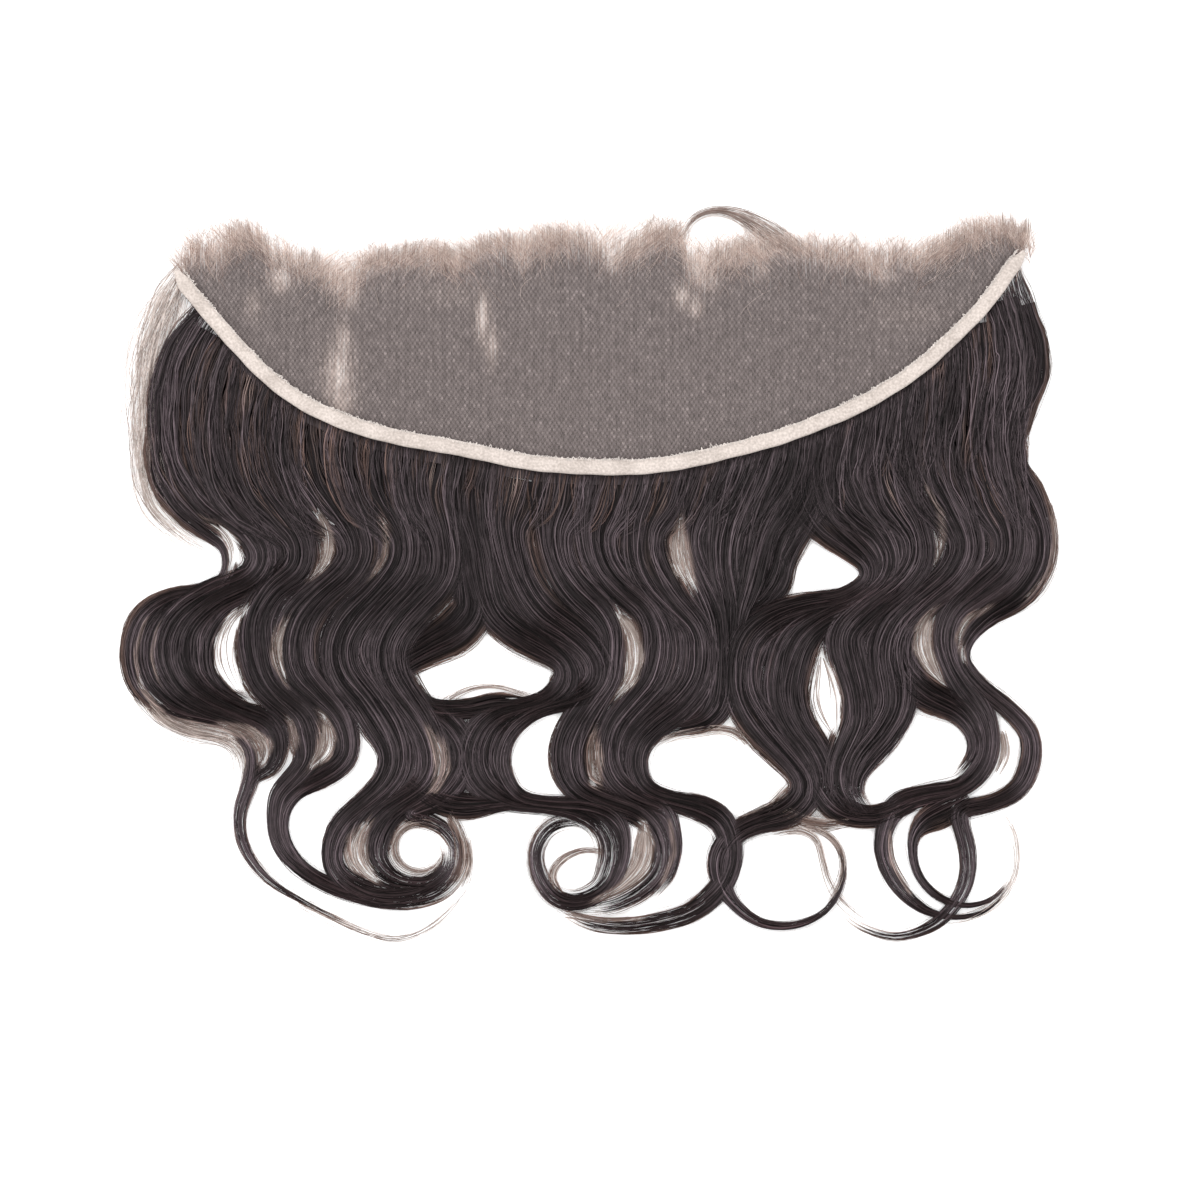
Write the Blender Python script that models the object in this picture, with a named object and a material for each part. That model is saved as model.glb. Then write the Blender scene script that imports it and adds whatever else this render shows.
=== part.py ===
"""Lace frontal hairpiece, lying flat with its lace side up.

The frame has +X to the right, +Y to the front hairline and +Z up. The origin is on the surface that
the hair rests on, under the middle of the ribbon that binds the lace's back edge. Tables are in
millimetres and the meshes in metres.
"""
import bisect
import math

import bmesh
import bpy
from mathutils import Vector

MM = 0.001

# Driving sizes, in millimetres
LACE_THICKNESS = 1.15
LACE_STEP = 0.15
LACE_BACK_REACH = 1.3
MAT_BACK_REACH = -1.0
MAT_HEIGHT = 4.0
MAT_FRONT_HEIGHT = 1.6
RIBBON_WIDTH = 5.8
RIBBON_WALL = 1.0
FREE_GAP = 0.3
TIP_INSET = 2.5
LEAST_DEPTH = 2.0
TIP_REACH = 140.0
TIP_RISE = 40.0
FLAT_SHARE = 0.4
STEP_RUN = 0.15
FRINGE_TOOTH = 1.6
LOCK_STEP = 7.0
LOCK_RISE = 0.33
LOCK_LEAST_HEIGHT = 1.8
LOCK_MOST_HEIGHT = 5.6
LOCK_SUNK = 0.8
LOCK_SHIFT = 0.009
LOCK_SHOULDER = 0.9
LOCK_CHEEK = 0.62
BEND_SHARE = 0.7
LEAST_TURN = 0.01
COLUMN_STEP = 8.0
ABOVE_ALL = 30.0

# Middle line of the ribbon, from the left tip to the right one: x, y
RIBBON_LINE = (
    (-164, 79), (-159.5, 72), (-150, 60.8), (-140, 49.3), (-130, 39.3), (-115, 28), (-100, 21),
    (-80, 14.6), (-60, 11), (-40, 6.9), (-20, 3.8), (0, 3), (20, 3.2), (40, 6.6), (60, 11.5),
    (80, 18.2), (100, 27), (120, 38.8), (140, 56.2), (150, 67.3), (158, 78.3), (164, 86),
)

# Front of the piece, from left to right: x, y of the lace's edge, y of the fringe's tips
FRONT_LINE = (
    (-164, 82, 88), (-157, 88, 96), (-148, 92, 100), (-136, 92, 101), (-122, 87, 96.5),
    (-108, 82, 90.5), (-95, 81, 89.5), (-70, 83, 91), (-50, 84, 91.5), (-38, 88, 96.5),
    (-28, 91, 100.5), (0, 91, 101), (26, 91, 101), (42, 87, 96), (70, 86, 94.5), (100, 83, 92),
    (120, 83.5, 92), (132, 88, 96.5), (142, 92, 102), (154, 93, 103), (162, 91, 100), (167, 90, 95),
)

# Locks, from the roots to the tip: x, y, half of the width. A row stands where a bend starts,
# at its crown and where it ends.
LOCKS = {
    "left_1": (
        (-155, 66, 1.5), (-162.5, 54, 2.5), (-168.5, 43, 3.5), (-170.5, 29, 4.5),
        (-170, 14, 5.5), (-169.5, 2, 6),
        (-164, -10, 5.5), (-154, -19.5, 4.5), (-145.8, -26, 3), (-143.3, -33, 2.6),
        (-145.2, -40.8, 2.6), (-155, -45.3, 2.7), (-166.5, -48.5, 4), (-176, -56, 5.6),
        (-179.6, -68, 5.8), (-177, -80.3, 5.6), (-169, -89, 4.5), (-160, -93.3, 3.5),
        (-147.5, -96.2, 2.9), (-138.3, -101, 2.9), (-134.2, -109.5, 2.9), (-136, -120, 2.8),
        (-139.5, -130, 2.3), (-139.5, -139, 2), (-136, -148, 1.8), (-129, -156.5, 1.5),
        (-118.5, -163.5, 1.2), (-104, -171, 0.8), (-90, -177.5, 0.5),
    ),
    "left_2": (
        (-145, 63, 7), (-154.5, 45, 9.5), (-158, 25, 10.5), (-156.5, 8, 10.5), (-149.5, -7.5, 8),
        (-138.5, -18.5, 6.5), (-130.5, -30, 7), (-134.5, -40, 6), (-149, -47, 6.5),
        (-160.5, -56, 9), (-165, -67, 11), (-162, -79, 9.5), (-152, -87.5, 7), (-141, -92.5, 5.5),
        (-129.5, -98, 6.5), (-126.5, -106, 5.5), (-128.5, -113, 4.2), (-134.5, -117, 2.5), (-138, -124, 2),
    ),
    "left_3": (
        (-128, 56, 10), (-135, 37, 12), (-137, 15, 13), (-133, -3, 12), (-125, -15, 9.5),
        (-117, -26, 8.5), (-117.5, -36, 8), (-127, -44, 6.5), (-133.5, -55, 7), (-134, -67, 7.5),
        (-130.5, -80, 7), (-123, -88, 6), (-116, -94, 6.5), (-113.5, -102, 7.5), (-113, -110, 5),
        (-117.5, -116.5, 4), (-124.5, -124, 3.5), (-126, -134, 2.6), (-124.5, -143, 2.6),
        (-119.5, -150, 2.3), (-110.5, -156.5, 2.2), (-97, -162.5, 1.8), (-84, -165.5, 1.8),
    ),
    "left_4": (
        (-104, 43, 12), (-111, 22, 14.5), (-111, 5, 14), (-104.5, -10, 11.5), (-97, -20, 9.5),
        (-94, -30, 9), (-98, -38, 8), (-107, -46, 7.5), (-115, -55, 9), (-118, -66, 9.5),
        (-116, -77, 9), (-108, -86, 7), (-101, -94, 5.5), (-98, -103, 4.5), (-99, -110, 4.5),
        (-106, -116, 4), (-116.5, -121.5, 3.2), (-122.5, -128.5, 2.8), (-123.8, -137, 2.6),
        (-121, -146, 2.6), (-114.5, -153.5, 2.6), (-104, -159.5, 2.6), (-90, -163.5, 3),
        (-76, -165, 3.4), (-62.5, -161.5, 3.8), (-55.5, -154, 3.8), (-54.5, -146, 3),
    ),
    "left_5": (
        (-80, 32, 11), (-86, 12, 12), (-85.5, -4, 11), (-79.5, -16, 9), (-75.5, -27, 8.5),
        (-77.5, -37, 8.5), (-86, -47, 7.5), (-95, -57, 8.5), (-99, -67, 9), (-97, -77, 9),
        (-90, -86, 8), (-84, -95, 8.5), (-80.5, -104, 8), (-79.5, -113, 7), (-83.5, -121, 5.5),
        (-91.5, -128, 4.5), (-99.5, -135, 4.5), (-103.5, -143.5, 3.8), (-103, -152, 3.5),
        (-97, -158.5, 4), (-86, -163, 4), (-73, -162.5, 4), (-62, -157, 4), (-57.5, -149, 3.3),
        (-60, -141, 3),
    ),
    "left_6": (
        (-61, 26, 10), (-65, 5, 11), (-66, -8, 9.5), (-62, -20, 9), (-60, -31, 8.5), (-62, -41, 8),
        (-70, -50, 8), (-78, -59, 8), (-82, -68, 8.5), (-80.5, -78, 8), (-74.5, -87, 7),
        (-69, -95, 7), (-65, -104, 7), (-64, -113, 7), (-68, -121, 5.5), (-78, -127.5, 5),
        (-84.5, -133, 6.5), (-89, -140.5, 8), (-89, -149, 7), (-83, -155.5, 4.5), (-76, -158.5, 3),
        (-66, -158.5, 2.6), (-59.5, -153, 2.5), (-58.5, -144, 2),
    ),
    "left_7": (
        (-53, -30, 5), (-51, -42, 6), (-49.5, -52, 8), (-56, -60.5, 8.5), (-67, -66.5, 7),
        (-77, -74, 6), (-80, -82, 5.5), (-74, -89, 5), (-62, -95, 6), (-55, -103, 6),
        (-53.5, -111, 6), (-57, -119, 5.5), (-64, -126, 4.5), (-75, -131, 3.5),
        (-65, -134.5, 2.5), (-58.5, -139, 2.5), (-55, -147, 2.5), (-58, -156, 2.2),
    ),
    "left_8": (
        (-86, -81, 3), (-75, -87, 3), (-63, -90.5, 4), (-51, -90, 4.5), (-39, -88.5, 4),
        (-28, -89, 2.5),
    ),
    "left_9": (
        (-74, -119, 4), (-63, -126, 5), (-52, -128.5, 5), (-42, -127.5, 3.5), (-33, -127, 2.5),
    ),
    "left_10": (
        (-137, -49, 2.5), (-146, -54.5, 4), (-152, -65, 4.5), (-151.5, -76, 4.5), (-146, -84, 4),
        (-136, -89, 2.5),
    ),
    "centre_1": (
        (-46, 16, 8), (-49, -2, 8), (-49, -16, 7.5), (-46, -30, 7.5), (-44, -42, 7.5),
        (-40, -51.5, 7), (-32, -59, 6.3), (-22, -65, 5.3), (-13.5, -73, 4.5), (-12.5, -81, 6),
        (-19, -87.5, 4.5), (-29, -91, 4), (-40, -95, 6), (-46, -103, 8), (-47, -112, 8),
        (-43, -120, 7), (-33, -126.7, 3.5), (-20, -128.3, 2.8), (-8, -130.5, 3.5), (1, -135.5, 4.5),
        (5, -144, 5), (4, -153, 5), (0, -160, 4), (-9.5, -164.2, 3.4), (-18, -161.5, 3),
    ),
    "centre_2": (
        (-28, 12, 10), (-32, -8, 10), (-35, -20, 9), (-33, -32, 8), (-29, -43, 8), (-22, -53, 8),
        (-12, -60, 7), (-4, -67, 6.5), (0, -75, 6.5), (-3, -83, 6), (-14, -88, 3.5), (-25, -91.5, 3),
        (-34.5, -98.5, 3.5), (-39, -108, 4), (-38, -117, 4), (-31, -125.5, 3), (-18, -127.8, 2.6),
        (-5, -128.5, 3.5), (5.5, -132.5, 3.5), (9.5, -141, 2), (8.5, -151, 2), (3, -160.5, 2.2),
        (-6, -165.5, 2.5), (-15.5, -165, 3), (-22.2, -158, 3), (-25, -148, 2.8),
        (-21.8, -139, 2.8), (-14.5, -134.6, 2.6), (-7, -135.5, 1.8), (-2, -141, 1.2),
    ),
    "centre_3": (
        (-10, 10, 10), (-13, -10, 10), (-17, -22, 9), (-15, -34, 8), (-9, -44, 8), (0, -53, 7),
        (3.8, -61, 5.5), (4.6, -70, 4.5), (3.4, -79, 5.4), (-2, -87, 5.5), (-7.5, -95, 6.5),
        (-11.5, -104, 7), (-11.5, -113, 7), (-8, -121, 5.5), (2, -126, 5), (14, -130, 5),
        (22, -137, 4), (24.5, -146, 3.5), (22.5, -155, 3.5), (15, -162, 3.5), (4, -167, 3),
        (-8, -168, 3),
    ),
    "centre_4": (
        (10, 10, 10), (5, -10, 10), (0, -22, 9), (2, -34, 8), (9, -43, 7.5), (18, -51, 7),
        (22.5, -60, 8), (22.7, -70, 9), (19.7, -80, 8), (13, -88, 6.5), (6, -97, 6),
        (3.5, -107, 6), (6, -117, 6), (14, -124, 5), (25, -129, 3), (29, -137, 1.8),
        (30, -146, 1.5), (27, -156, 1.4), (20, -163.5, 1.4),
    ),
    "centre_5": (
        (30, 12, 10), (24, -8, 10), (18.5, -20, 10), (18.3, -32, 10.3), (23, -42, 9.3), (30, -51, 7),
        (37, -59, 6.5), (39, -69, 7.5), (37, -80, 7), (30, -89, 6.5), (21, -96, 6),
        (14, -104, 5.5), (12.5, -113, 5.5), (17, -122, 4.2), (28, -126.3, 3.3), (39, -129, 4.5),
        (47.5, -134, 4.5), (51, -144, 4), (50, -153, 4), (45.5, -161, 4), (35.5, -169.3, 3.6),
        (22, -173.3, 3.3), (8, -175, 2.8), (-6, -173, 2.4), (-16, -167.3, 2),
    ),
    "centre_6": (
        (49, 18, 10), (44, 0, 10), (38, -13, 7.5), (35.5, -25, 5.5), (38, -36, 5.5), (43, -46, 6.5),
        (46.5, -57, 6), (47, -68, 5.5), (47, -79, 5.5), (45.3, -89, 6.3), (39.5, -95.5, 4.4),
        (28, -98.5, 2.5), (20, -101, 1.5),
    ),
    "centre_7": (
        (65, 22, 9), (61, 4, 10), (55, -10, 9), (50, -23, 9), (49, -35, 8), (51, -45, 7),
        (52, -54, 5.5), (51, -62, 4),
    ),
    "centre_8": (
        (76, 24, 7), (73.5, 6, 8), (68, -8, 8.5), (62.5, -20, 8.5), (59.5, -31, 8),
        (57, -42, 7.5), (54, -53, 5), (53, -61, 3.5),
    ),
    "centre_9": (
        (86, 24, 5), (84, 6, 5.5), (80, -7, 6), (74.5, -17, 6), (69.5, -27, 5.5),
        (67.5, -37, 6), (63, -46, 5.5), (56, -53, 3.5),
    ),
    "right_1": (
        (88, 28, 7), (84, 8, 7), (83, -7, 7), (87, -18, 7), (95.5, -26, 6.3), (104, -33.5, 4.6),
        (104.5, -41, 3.8), (95, -48, 4), (80, -51, 5), (67, -56, 6.5), (58, -64, 7.5),
        (55, -75, 7.5), (56, -86, 7.5), (62.5, -97, 8), (71, -107, 6.7), (78.5, -116, 5.7),
        (79.5, -124, 6.3), (72, -131, 5.7), (61, -134.3, 4.3), (52, -139, 4), (46.5, -147, 4.3),
        (46.3, -156, 3.6), (51.3, -165.5, 2.2), (60, -172.7, 1.6), (70, -175, 1.3),
        (81, -173, 1.1), (89.5, -167, 0.9), (94.5, -156, 0.7), (93.5, -147, 0.6), (88, -140, 0.5),
    ),
    "right_2": (
        (101, 36, 9), (97, 12, 10), (94, -2, 8.5), (100, -13, 7.5), (108.5, -22, 6.5), (113, -32, 6),
        (110, -42, 5.5), (99, -50, 5.5), (86, -56, 6), (77, -64, 9), (73, -75, 9.5), (72, -86, 9),
        (76, -97, 7.5), (82.5, -106, 6.5), (86.5, -115, 6), (86, -124, 6), (79.5, -132.5, 4.5),
    ),
    "right_3": (
        (117, 44, 9), (114, 20, 10), (111, 3, 10), (114, -10, 8.5), (121.5, -22, 7.5),
        (123, -33, 7.5), (116, -43, 6.5), (104.5, -52, 7), (95.3, -62, 8), (96.7, -72.5, 8),
        (99.8, -84, 7), (100.5, -95, 7.6), (96.5, -105, 7.3), (93, -114, 6.5), (94, -123, 6.5),
        (101, -131, 5),
    ),
    "right_4": (
        (133, 58, 9), (131.5, 30, 11), (128.5, 12, 11), (131, -3, 8.5), (138, -16, 7.5),
        (142, -28, 8), (137, -39, 7), (125, -49, 6.5), (115.5, -59, 8.3), (112.5, -69, 9.5),
        (114, -80, 9), (114, -90, 7.8), (108.5, -100, 7.3), (101, -109, 6.8), (97.5, -117, 5),
        (98, -125, 4), (104, -132, 3),
    ),
    "right_5": (
        (147, 72, 8), (149.5, 45, 11), (147, 25, 11.5), (147.5, 8, 11), (152, -8, 9), (158, -22, 8.5),
        (157, -34, 8), (148, -43, 7), (137.5, -52, 5), (133.5, -62, 4.8), (135, -72, 4),
        (140.5, -82, 5), (148, -92, 4.5), (150.8, -103, 3.9), (148, -113.5, 3.9),
        (139.5, -121.3, 3.3), (126, -124, 3.6), (115, -128, 4), (110.3, -137, 3), (109.5, -147, 2.8),
        (114.5, -158.3, 2.5), (123.5, -167.3, 1.9), (133, -171, 0.9), (144, -171, 0.7), (153, -166.5, 0.5),
        (159.5, -157, 0.4),
    ),
    "right_6": (
        (160, 79, 3), (164, 66, 4.3), (167.5, 50, 6), (167, 37, 6.3), (161.5, 24, 6.5),
        (158, 12, 6.5), (159.5, 2, 6.5), (165, -8, 7), (170.5, -22, 6), (170, -35, 5.7),
        (162.3, -46.5, 5.5), (150, -54.7, 4), (142, -63.3, 3.1), (140, -72, 3), (148.2, -81.2, 3.6),
        (158.8, -89.7, 3.5), (167, -100, 3.5), (167.3, -111, 3.5), (161.5, -122, 3.4),
        (150, -127.7, 3), (139.5, -129.5, 3.5), (139.5, -135, 3), (142.3, -145, 3),
        (142.3, -156, 2.8), (138, -166, 2.5), (129, -174.5, 2), (115, -179, 1.4),
        (101, -175.3, 1.2), (92, -168.5, 0.6),
    ),
    "right_7": (
        (143, -125, 3.5), (133, -131, 5.5), (126, -134.3, 4.4), (121.5, -140, 2), (121.3, -149, 1.4),
        (125, -158, 1.4), (133.5, -165, 1.3), (144, -167, 0.8), (153.5, -163.5, 0.6),
        (159.5, -155, 0.4),
    ),
    "right_8": (
        (155, 70, 4), (159, 55, 5), (159, 42, 5), (155.5, 28, 5), (153.5, 14, 5), (156, 0, 5),
    ),
    "right_9": (
        (84, -119, 5), (90, -127.5, 5.5), (98, -132, 4.5), (107, -132.5, 4), (115, -129.5, 3.5),
        (124, -125.5, 3),
    ),
    "right_10": (
        (124, -47, 4), (117, -56, 5), (115, -66, 6), (118, -76.8, 7), (126.8, -85.2, 6.6),
        (139, -91.3, 5), (145.5, -100.5, 3.5), (145.5, -109, 3.2), (138.5, -117.5, 2.6),
    ),
}


def curve_through(rows, step):
    """Smooth curve through the rows of a table, with a row about every step."""
    rows = [Vector(row) for row in rows]
    ends = [2 * rows[0] - rows[1]] + rows + [2 * rows[-1] - rows[-2]]
    out = []
    for before, start, stop, after in zip(ends, ends[1:], ends[2:], ends[3:]):
        count = max(1, round((stop.xy - start.xy).length / step))
        for index in range(count):
            t = index / count
            out.append(0.5 * (2 * start + (stop - before) * t
                              + (2 * before - 5 * start + 4 * stop - after) * t ** 2
                              + (3 * start - before - 3 * stop + after) * t ** 3))
    return out + [rows[-1]]


def sideways(points, index):
    """Unit vector to the left of a line's run, in the plane of the floor."""
    ahead = points[min(index + 1, len(points) - 1)]
    behind = points[max(index - 1, 0)]
    run = (ahead.xy - behind.xy).normalized()
    return Vector((-run.y, run.x))


def free_reach(points, index, half):
    """Half widths to the left and to the right, cut short where a bend would fold the inner side."""
    if index in (0, len(points) - 1):
        return half, half
    before = points[index].xy - points[index - 1].xy
    after = points[index + 1].xy - points[index].xy
    turn = before.angle_signed(after, 0.0)
    if abs(turn) < LEAST_TURN:
        return half, half
    inner = min(half, BEND_SHARE * (before.length + after.length) / 2 / abs(turn))
    return (half, inner) if turn > 0 else (inner, half)


def height_at(table, x, column=1):
    """Value of a table's column at x, straight between its rows."""
    keys = [row[0] for row in table]
    right = min(max(bisect.bisect_left(keys, x), 1), len(keys) - 1)
    low, high = table[right - 1], table[right]
    share = (x - low[0]) / (high[0] - low[0])
    return low[column] + (high[column] - low[column]) * share


def ease(value):
    """Smooth step from 0 to 1."""
    value = min(max(value, 0.0), 1.0)
    return value * value * (3 - 2 * value)


def make_material(name, colour, roughness):
    """Principled material of one plain colour."""
    material = bpy.data.materials.new(name)
    material.use_nodes = True
    shader = material.node_tree.nodes["Principled BSDF"]
    shader.inputs["Base Color"].default_value = (*colour, 1)
    shader.inputs["Roughness"].default_value = roughness
    shader.inputs["Metallic"].default_value = 0
    return material


def make_object(name, points, faces, guide=False):
    """Object of a closed mesh whose points are in millimetres."""
    mesh = bpy.data.meshes.new(name)
    mesh.from_pydata([tuple(c * MM for c in point) for point in points], [], faces)
    work = bmesh.new()
    work.from_mesh(mesh)
    bmesh.ops.recalc_face_normals(work, faces=work.faces)
    work.to_mesh(mesh)
    work.free()
    made = bpy.data.objects.new(name, mesh)
    bpy.context.scene.collection.objects.link(made)
    if guide:
        made.hide_render = True
        made.display_type = "WIRE"
    return made


def swept(name, stations, guide=False):
    """Closed solid through stations, each a ring of as many points."""
    ring = len(stations[0])
    points = [point for station in stations for point in station]
    faces = []
    for row in range(len(stations) - 1):
        for side in range(ring):
            after = (side + 1) % ring
            faces.append((row * ring + side, row * ring + after,
                          (row + 1) * ring + after, (row + 1) * ring + side))
    faces.append(tuple(range(ring)))
    faces.append(tuple(len(points) - 1 - side for side in range(ring)))
    return make_object(name, points, faces, guide)


def boolean(target, operation, other):
    """Adds a Boolean modifier for closed meshes."""
    modifier = target.modifiers.new(operation.lower(), "BOOLEAN")
    modifier.operation = operation
    modifier.solver = "MANIFOLD"
    modifier.object = other


def lace_underside(x, share):
    """Height of the lace over the floor: share is 0 at its front edge and 1 at its back one."""
    droop = (MAT_HEIGHT - MAT_FRONT_HEIGHT) * ease((TIP_REACH - abs(x)) / TIP_RISE)
    return MAT_HEIGHT - droop * (1 - ease(share / FLAT_SHARE)) + FREE_GAP


def ribbon_offset(distance):
    """Ribbon's middle line moved by a distance, towards the lace where it is positive."""
    line = curve_through([(x, y, 0) for x, y in RIBBON_LINE], 6)
    return [point.xy + sideways(line, index) * distance for index, point in enumerate(line)]


def dome_sheet(name, back_reach, front_column, lift, thickness, guide=False, tooth=0.0, margin=0.0,
               step=0.0):
    """D-shaped sheet from the front line to past the ribbon's middle line, in columns along X.

    Its top is lower by the step where the ribbon covers it.
    """
    back = ribbon_offset(-back_reach)
    covered = ribbon_offset(RIBBON_WIDTH / 2 + FREE_GAP)
    left = RIBBON_LINE[0][0] + TIP_INSET - margin
    right = RIBBON_LINE[-1][0] - TIP_INSET + margin
    count = round((right - left) / COLUMN_STEP) * (2 if tooth else 1)
    stations = []
    for index in range(count + 1):
        x = left + (right - left) * index / count
        far = height_at(back, x)
        near = height_at(FRONT_LINE, x, front_column) - tooth * (index % 2) + margin
        near = max(near, far + LEAST_DEPTH)
        edge = height_at(covered, x)
        meet = min(max((near - edge) / (near - far), FLAT_SHARE + 0.05), 0.9)
        shares = (0.0, FLAT_SHARE / 2, FLAT_SHARE)
        shares += (meet, meet + STEP_RUN / (near - far), 1.0) if step else (1.0,)
        top = []
        low = []
        for share in shares:
            y = near + (far - near) * share
            z = lace_underside(x, share) + lift
            low.append((x, y, z))
            top.append((x, y, z + thickness - (step if y < edge - STEP_RUN / 2 else 0)))
        stations.append(top + low[::-1])
    return swept(name, stations, guide)


def make_lace(material):
    """The net base, a thin sheet that lies on the mat of hair."""
    lace = dome_sheet("lace_base", LACE_BACK_REACH, 1, 0, LACE_THICKNESS, step=LACE_STEP)
    lace.data.materials.append(material)


def ribbon_section(grow):
    """Half width and levels of the folded ribbon, grown all round."""
    low = MAT_HEIGHT - RIBBON_WALL
    high = MAT_HEIGHT + 2 * FREE_GAP + LACE_THICKNESS - LACE_STEP + RIBBON_WALL
    return RIBBON_WIDTH / 2 + grow, low - grow, high + grow


def make_ribbon(material):
    """The ribbon, folded round the lace's back edge, with one leg under it and one on it."""
    half, low, high = ribbon_section(0)
    line = curve_through([(x, y, 0) for x, y in RIBBON_LINE], 6)
    profile = (
        (half, low), (half, low + RIBBON_WALL), (RIBBON_WALL - half, low + RIBBON_WALL),
        (RIBBON_WALL - half, high - RIBBON_WALL), (half, high - RIBBON_WALL), (half, high),
        (-half, high), (-half, low),
    )
    stations = []
    for index, point in enumerate(line):
        side = sideways(line, index)
        stations.append([(*(point.xy + side * across), level) for across, level in profile])
    ribbon = swept("ribbon_binding", stations)
    ribbon.data.materials.append(material)


def ribbon_room():
    """The space round the ribbon that the hair leaves free, up to above everything."""
    half, low, _ = ribbon_section(FREE_GAP)
    line = curve_through([(x, y, 0) for x, y in RIBBON_LINE], 6)
    line[0] = line[0] + (line[0] - line[1]).normalized()
    line[-1] = line[-1] + (line[-1] - line[-2]).normalized()
    stations = []
    for index, point in enumerate(line):
        side = sideways(line, index)
        corners = ((half, low), (half, ABOVE_ALL), (-half, ABOVE_ALL), (-half, low))
        stations.append([(*(point.xy + side * across), level) for across, level in corners])
    return swept("ribbon_room", stations, guide=True)


def make_lock(name, rows, order):
    """One lock: a flat underside below the floor and a rounded back, narrowing to its tip."""
    line = curve_through(rows, LOCK_STEP)
    stations = []
    for index, (x, y, half) in enumerate(line):
        side = sideways(line, index)
        height = min(LOCK_LEAST_HEIGHT + LOCK_RISE * half, LOCK_MOST_HEIGHT) + LOCK_SHIFT * order
        low = -LOCK_SUNK - LOCK_SHIFT * order
        left, right = free_reach(line, index, half)
        corners = ((left, low), (LOCK_SHOULDER * left, LOCK_CHEEK * height), (0.0, height),
                   (-LOCK_SHOULDER * right, LOCK_CHEEK * height), (-right, low))
        stations.append([(x + side.x * across, y + side.y * across, level)
                         for across, level in corners])
    return swept(name, stations, guide=True)


def make_hair(material):
    """The hair: a mat under the lace with a toothed front fringe, and the locks fused to it."""
    hair = dome_sheet("hair", MAT_BACK_REACH, 2, -FREE_GAP - LACE_THICKNESS, LACE_THICKNESS,
                      tooth=FRINGE_TOOTH)
    hair.data.materials.append(material)
    for vertex in hair.data.vertices:
        if vertex.index % 8 > 3:
            vertex.co.z = -LOCK_SUNK * MM
    for order, (name, rows) in enumerate(LOCKS.items()):
        boolean(hair, "UNION", make_lock(name, rows, order))
    lace_room = dome_sheet("lace_room", LACE_BACK_REACH, 1, -1.5 * FREE_GAP, ABOVE_ALL, guide=True,
                           margin=2 * FREE_GAP)
    boolean(hair, "DIFFERENCE", lace_room)
    boolean(hair, "DIFFERENCE", ribbon_room())
    floor_corners = [[(x, y, z) for y, z in ((-250, -20), (-250, 0), (150, 0), (150, -20))]
                     for x in (-250, 250)]
    boolean(hair, "DIFFERENCE", swept("floor_room", floor_corners, guide=True))


def main():
    for old in list(bpy.data.objects):
        bpy.data.objects.remove(old)
    make_lace(make_material("lace_net", (0.19, 0.17, 0.16), 0.8))
    make_ribbon(make_material("ribbon", (0.80, 0.70, 0.66), 0.75))
    make_hair(make_material("hair_fibre", (0.035, 0.028, 0.027), 0.45))


main()
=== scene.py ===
"""Looks of the lace frontal hairpiece: net, ribbon and strands of hair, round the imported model.

Tables are in millimetres, in the frame of the part: +X right, +Y to the hairline, +Z up, with the
origin on the floor under the middle of the ribbon's back edge.
"""
import math

import bpy
import numpy as np
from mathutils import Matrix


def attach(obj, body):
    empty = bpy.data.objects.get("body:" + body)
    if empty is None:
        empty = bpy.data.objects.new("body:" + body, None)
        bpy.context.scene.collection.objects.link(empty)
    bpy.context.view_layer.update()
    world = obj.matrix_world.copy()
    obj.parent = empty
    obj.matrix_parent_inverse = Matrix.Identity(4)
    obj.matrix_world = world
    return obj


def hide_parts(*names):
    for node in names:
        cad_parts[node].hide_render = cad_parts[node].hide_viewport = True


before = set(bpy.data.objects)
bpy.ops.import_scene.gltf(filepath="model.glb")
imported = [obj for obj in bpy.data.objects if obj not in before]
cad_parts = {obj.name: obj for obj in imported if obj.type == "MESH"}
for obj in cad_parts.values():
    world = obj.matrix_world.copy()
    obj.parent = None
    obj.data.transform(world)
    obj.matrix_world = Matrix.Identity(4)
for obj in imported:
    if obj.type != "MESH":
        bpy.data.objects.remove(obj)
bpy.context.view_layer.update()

MM = 0.001

# Sizes, in millimetres
MAT_HEIGHT = 4.0
MAT_FRONT_HEIGHT = 1.6
FREE_GAP = 0.3
TIP_REACH = 140.0
TIP_RISE = 40.0
RIBBON_WIDTH = 5.8
UNDER_RIBBON = 2.3
LEAST_HEIGHT = 0.15
CLUMP = 1.4
NET_PITCH = 0.885
NET_ROW = 1.335
NET_THREAD = 0.92
NET_SWELL = 0.14
NET_ALPHA = 0.5
FLOOR_REACH = 4000.0
PHOTO_WIDTH_MM = 465.6
PHOTO_CENTRE = (0.0, -46.2)
LENS_MM = 100.0
SENSOR_MM = 36.0

# Shortest strand, as a share of its lock
LEAST_SHARE = 0.12

# Strands under the lace: how many, width, share of the height there, whether they are fine
MAT_STRANDS = ((440, 1.15, 0.45, False), (2500, 0.32, 0.9, True))
MAT_SAMPLES = 18

# Strands of the fringe: how many, width, whether they are the haze below
FRINGE_STRANDS = ((1500, 0.5, True), (10500, 0.125, False))
FRINGE_SAMPLES = 5

# Middle line of the ribbon, from the left tip to the right one: x, y
RIBBON_LINE = (
    (-164, 79), (-159.5, 72), (-150, 60.8), (-140, 49.3), (-130, 39.3), (-115, 28), (-100, 21),
    (-80, 14.6), (-60, 11), (-40, 6.9), (-20, 3.8), (0, 3), (20, 3.2), (40, 6.6), (60, 11.5), (80, 18.2),
    (100, 27), (120, 38.8), (140, 56.2), (150, 67.3), (158, 78.3), (164, 86),
)

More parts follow.
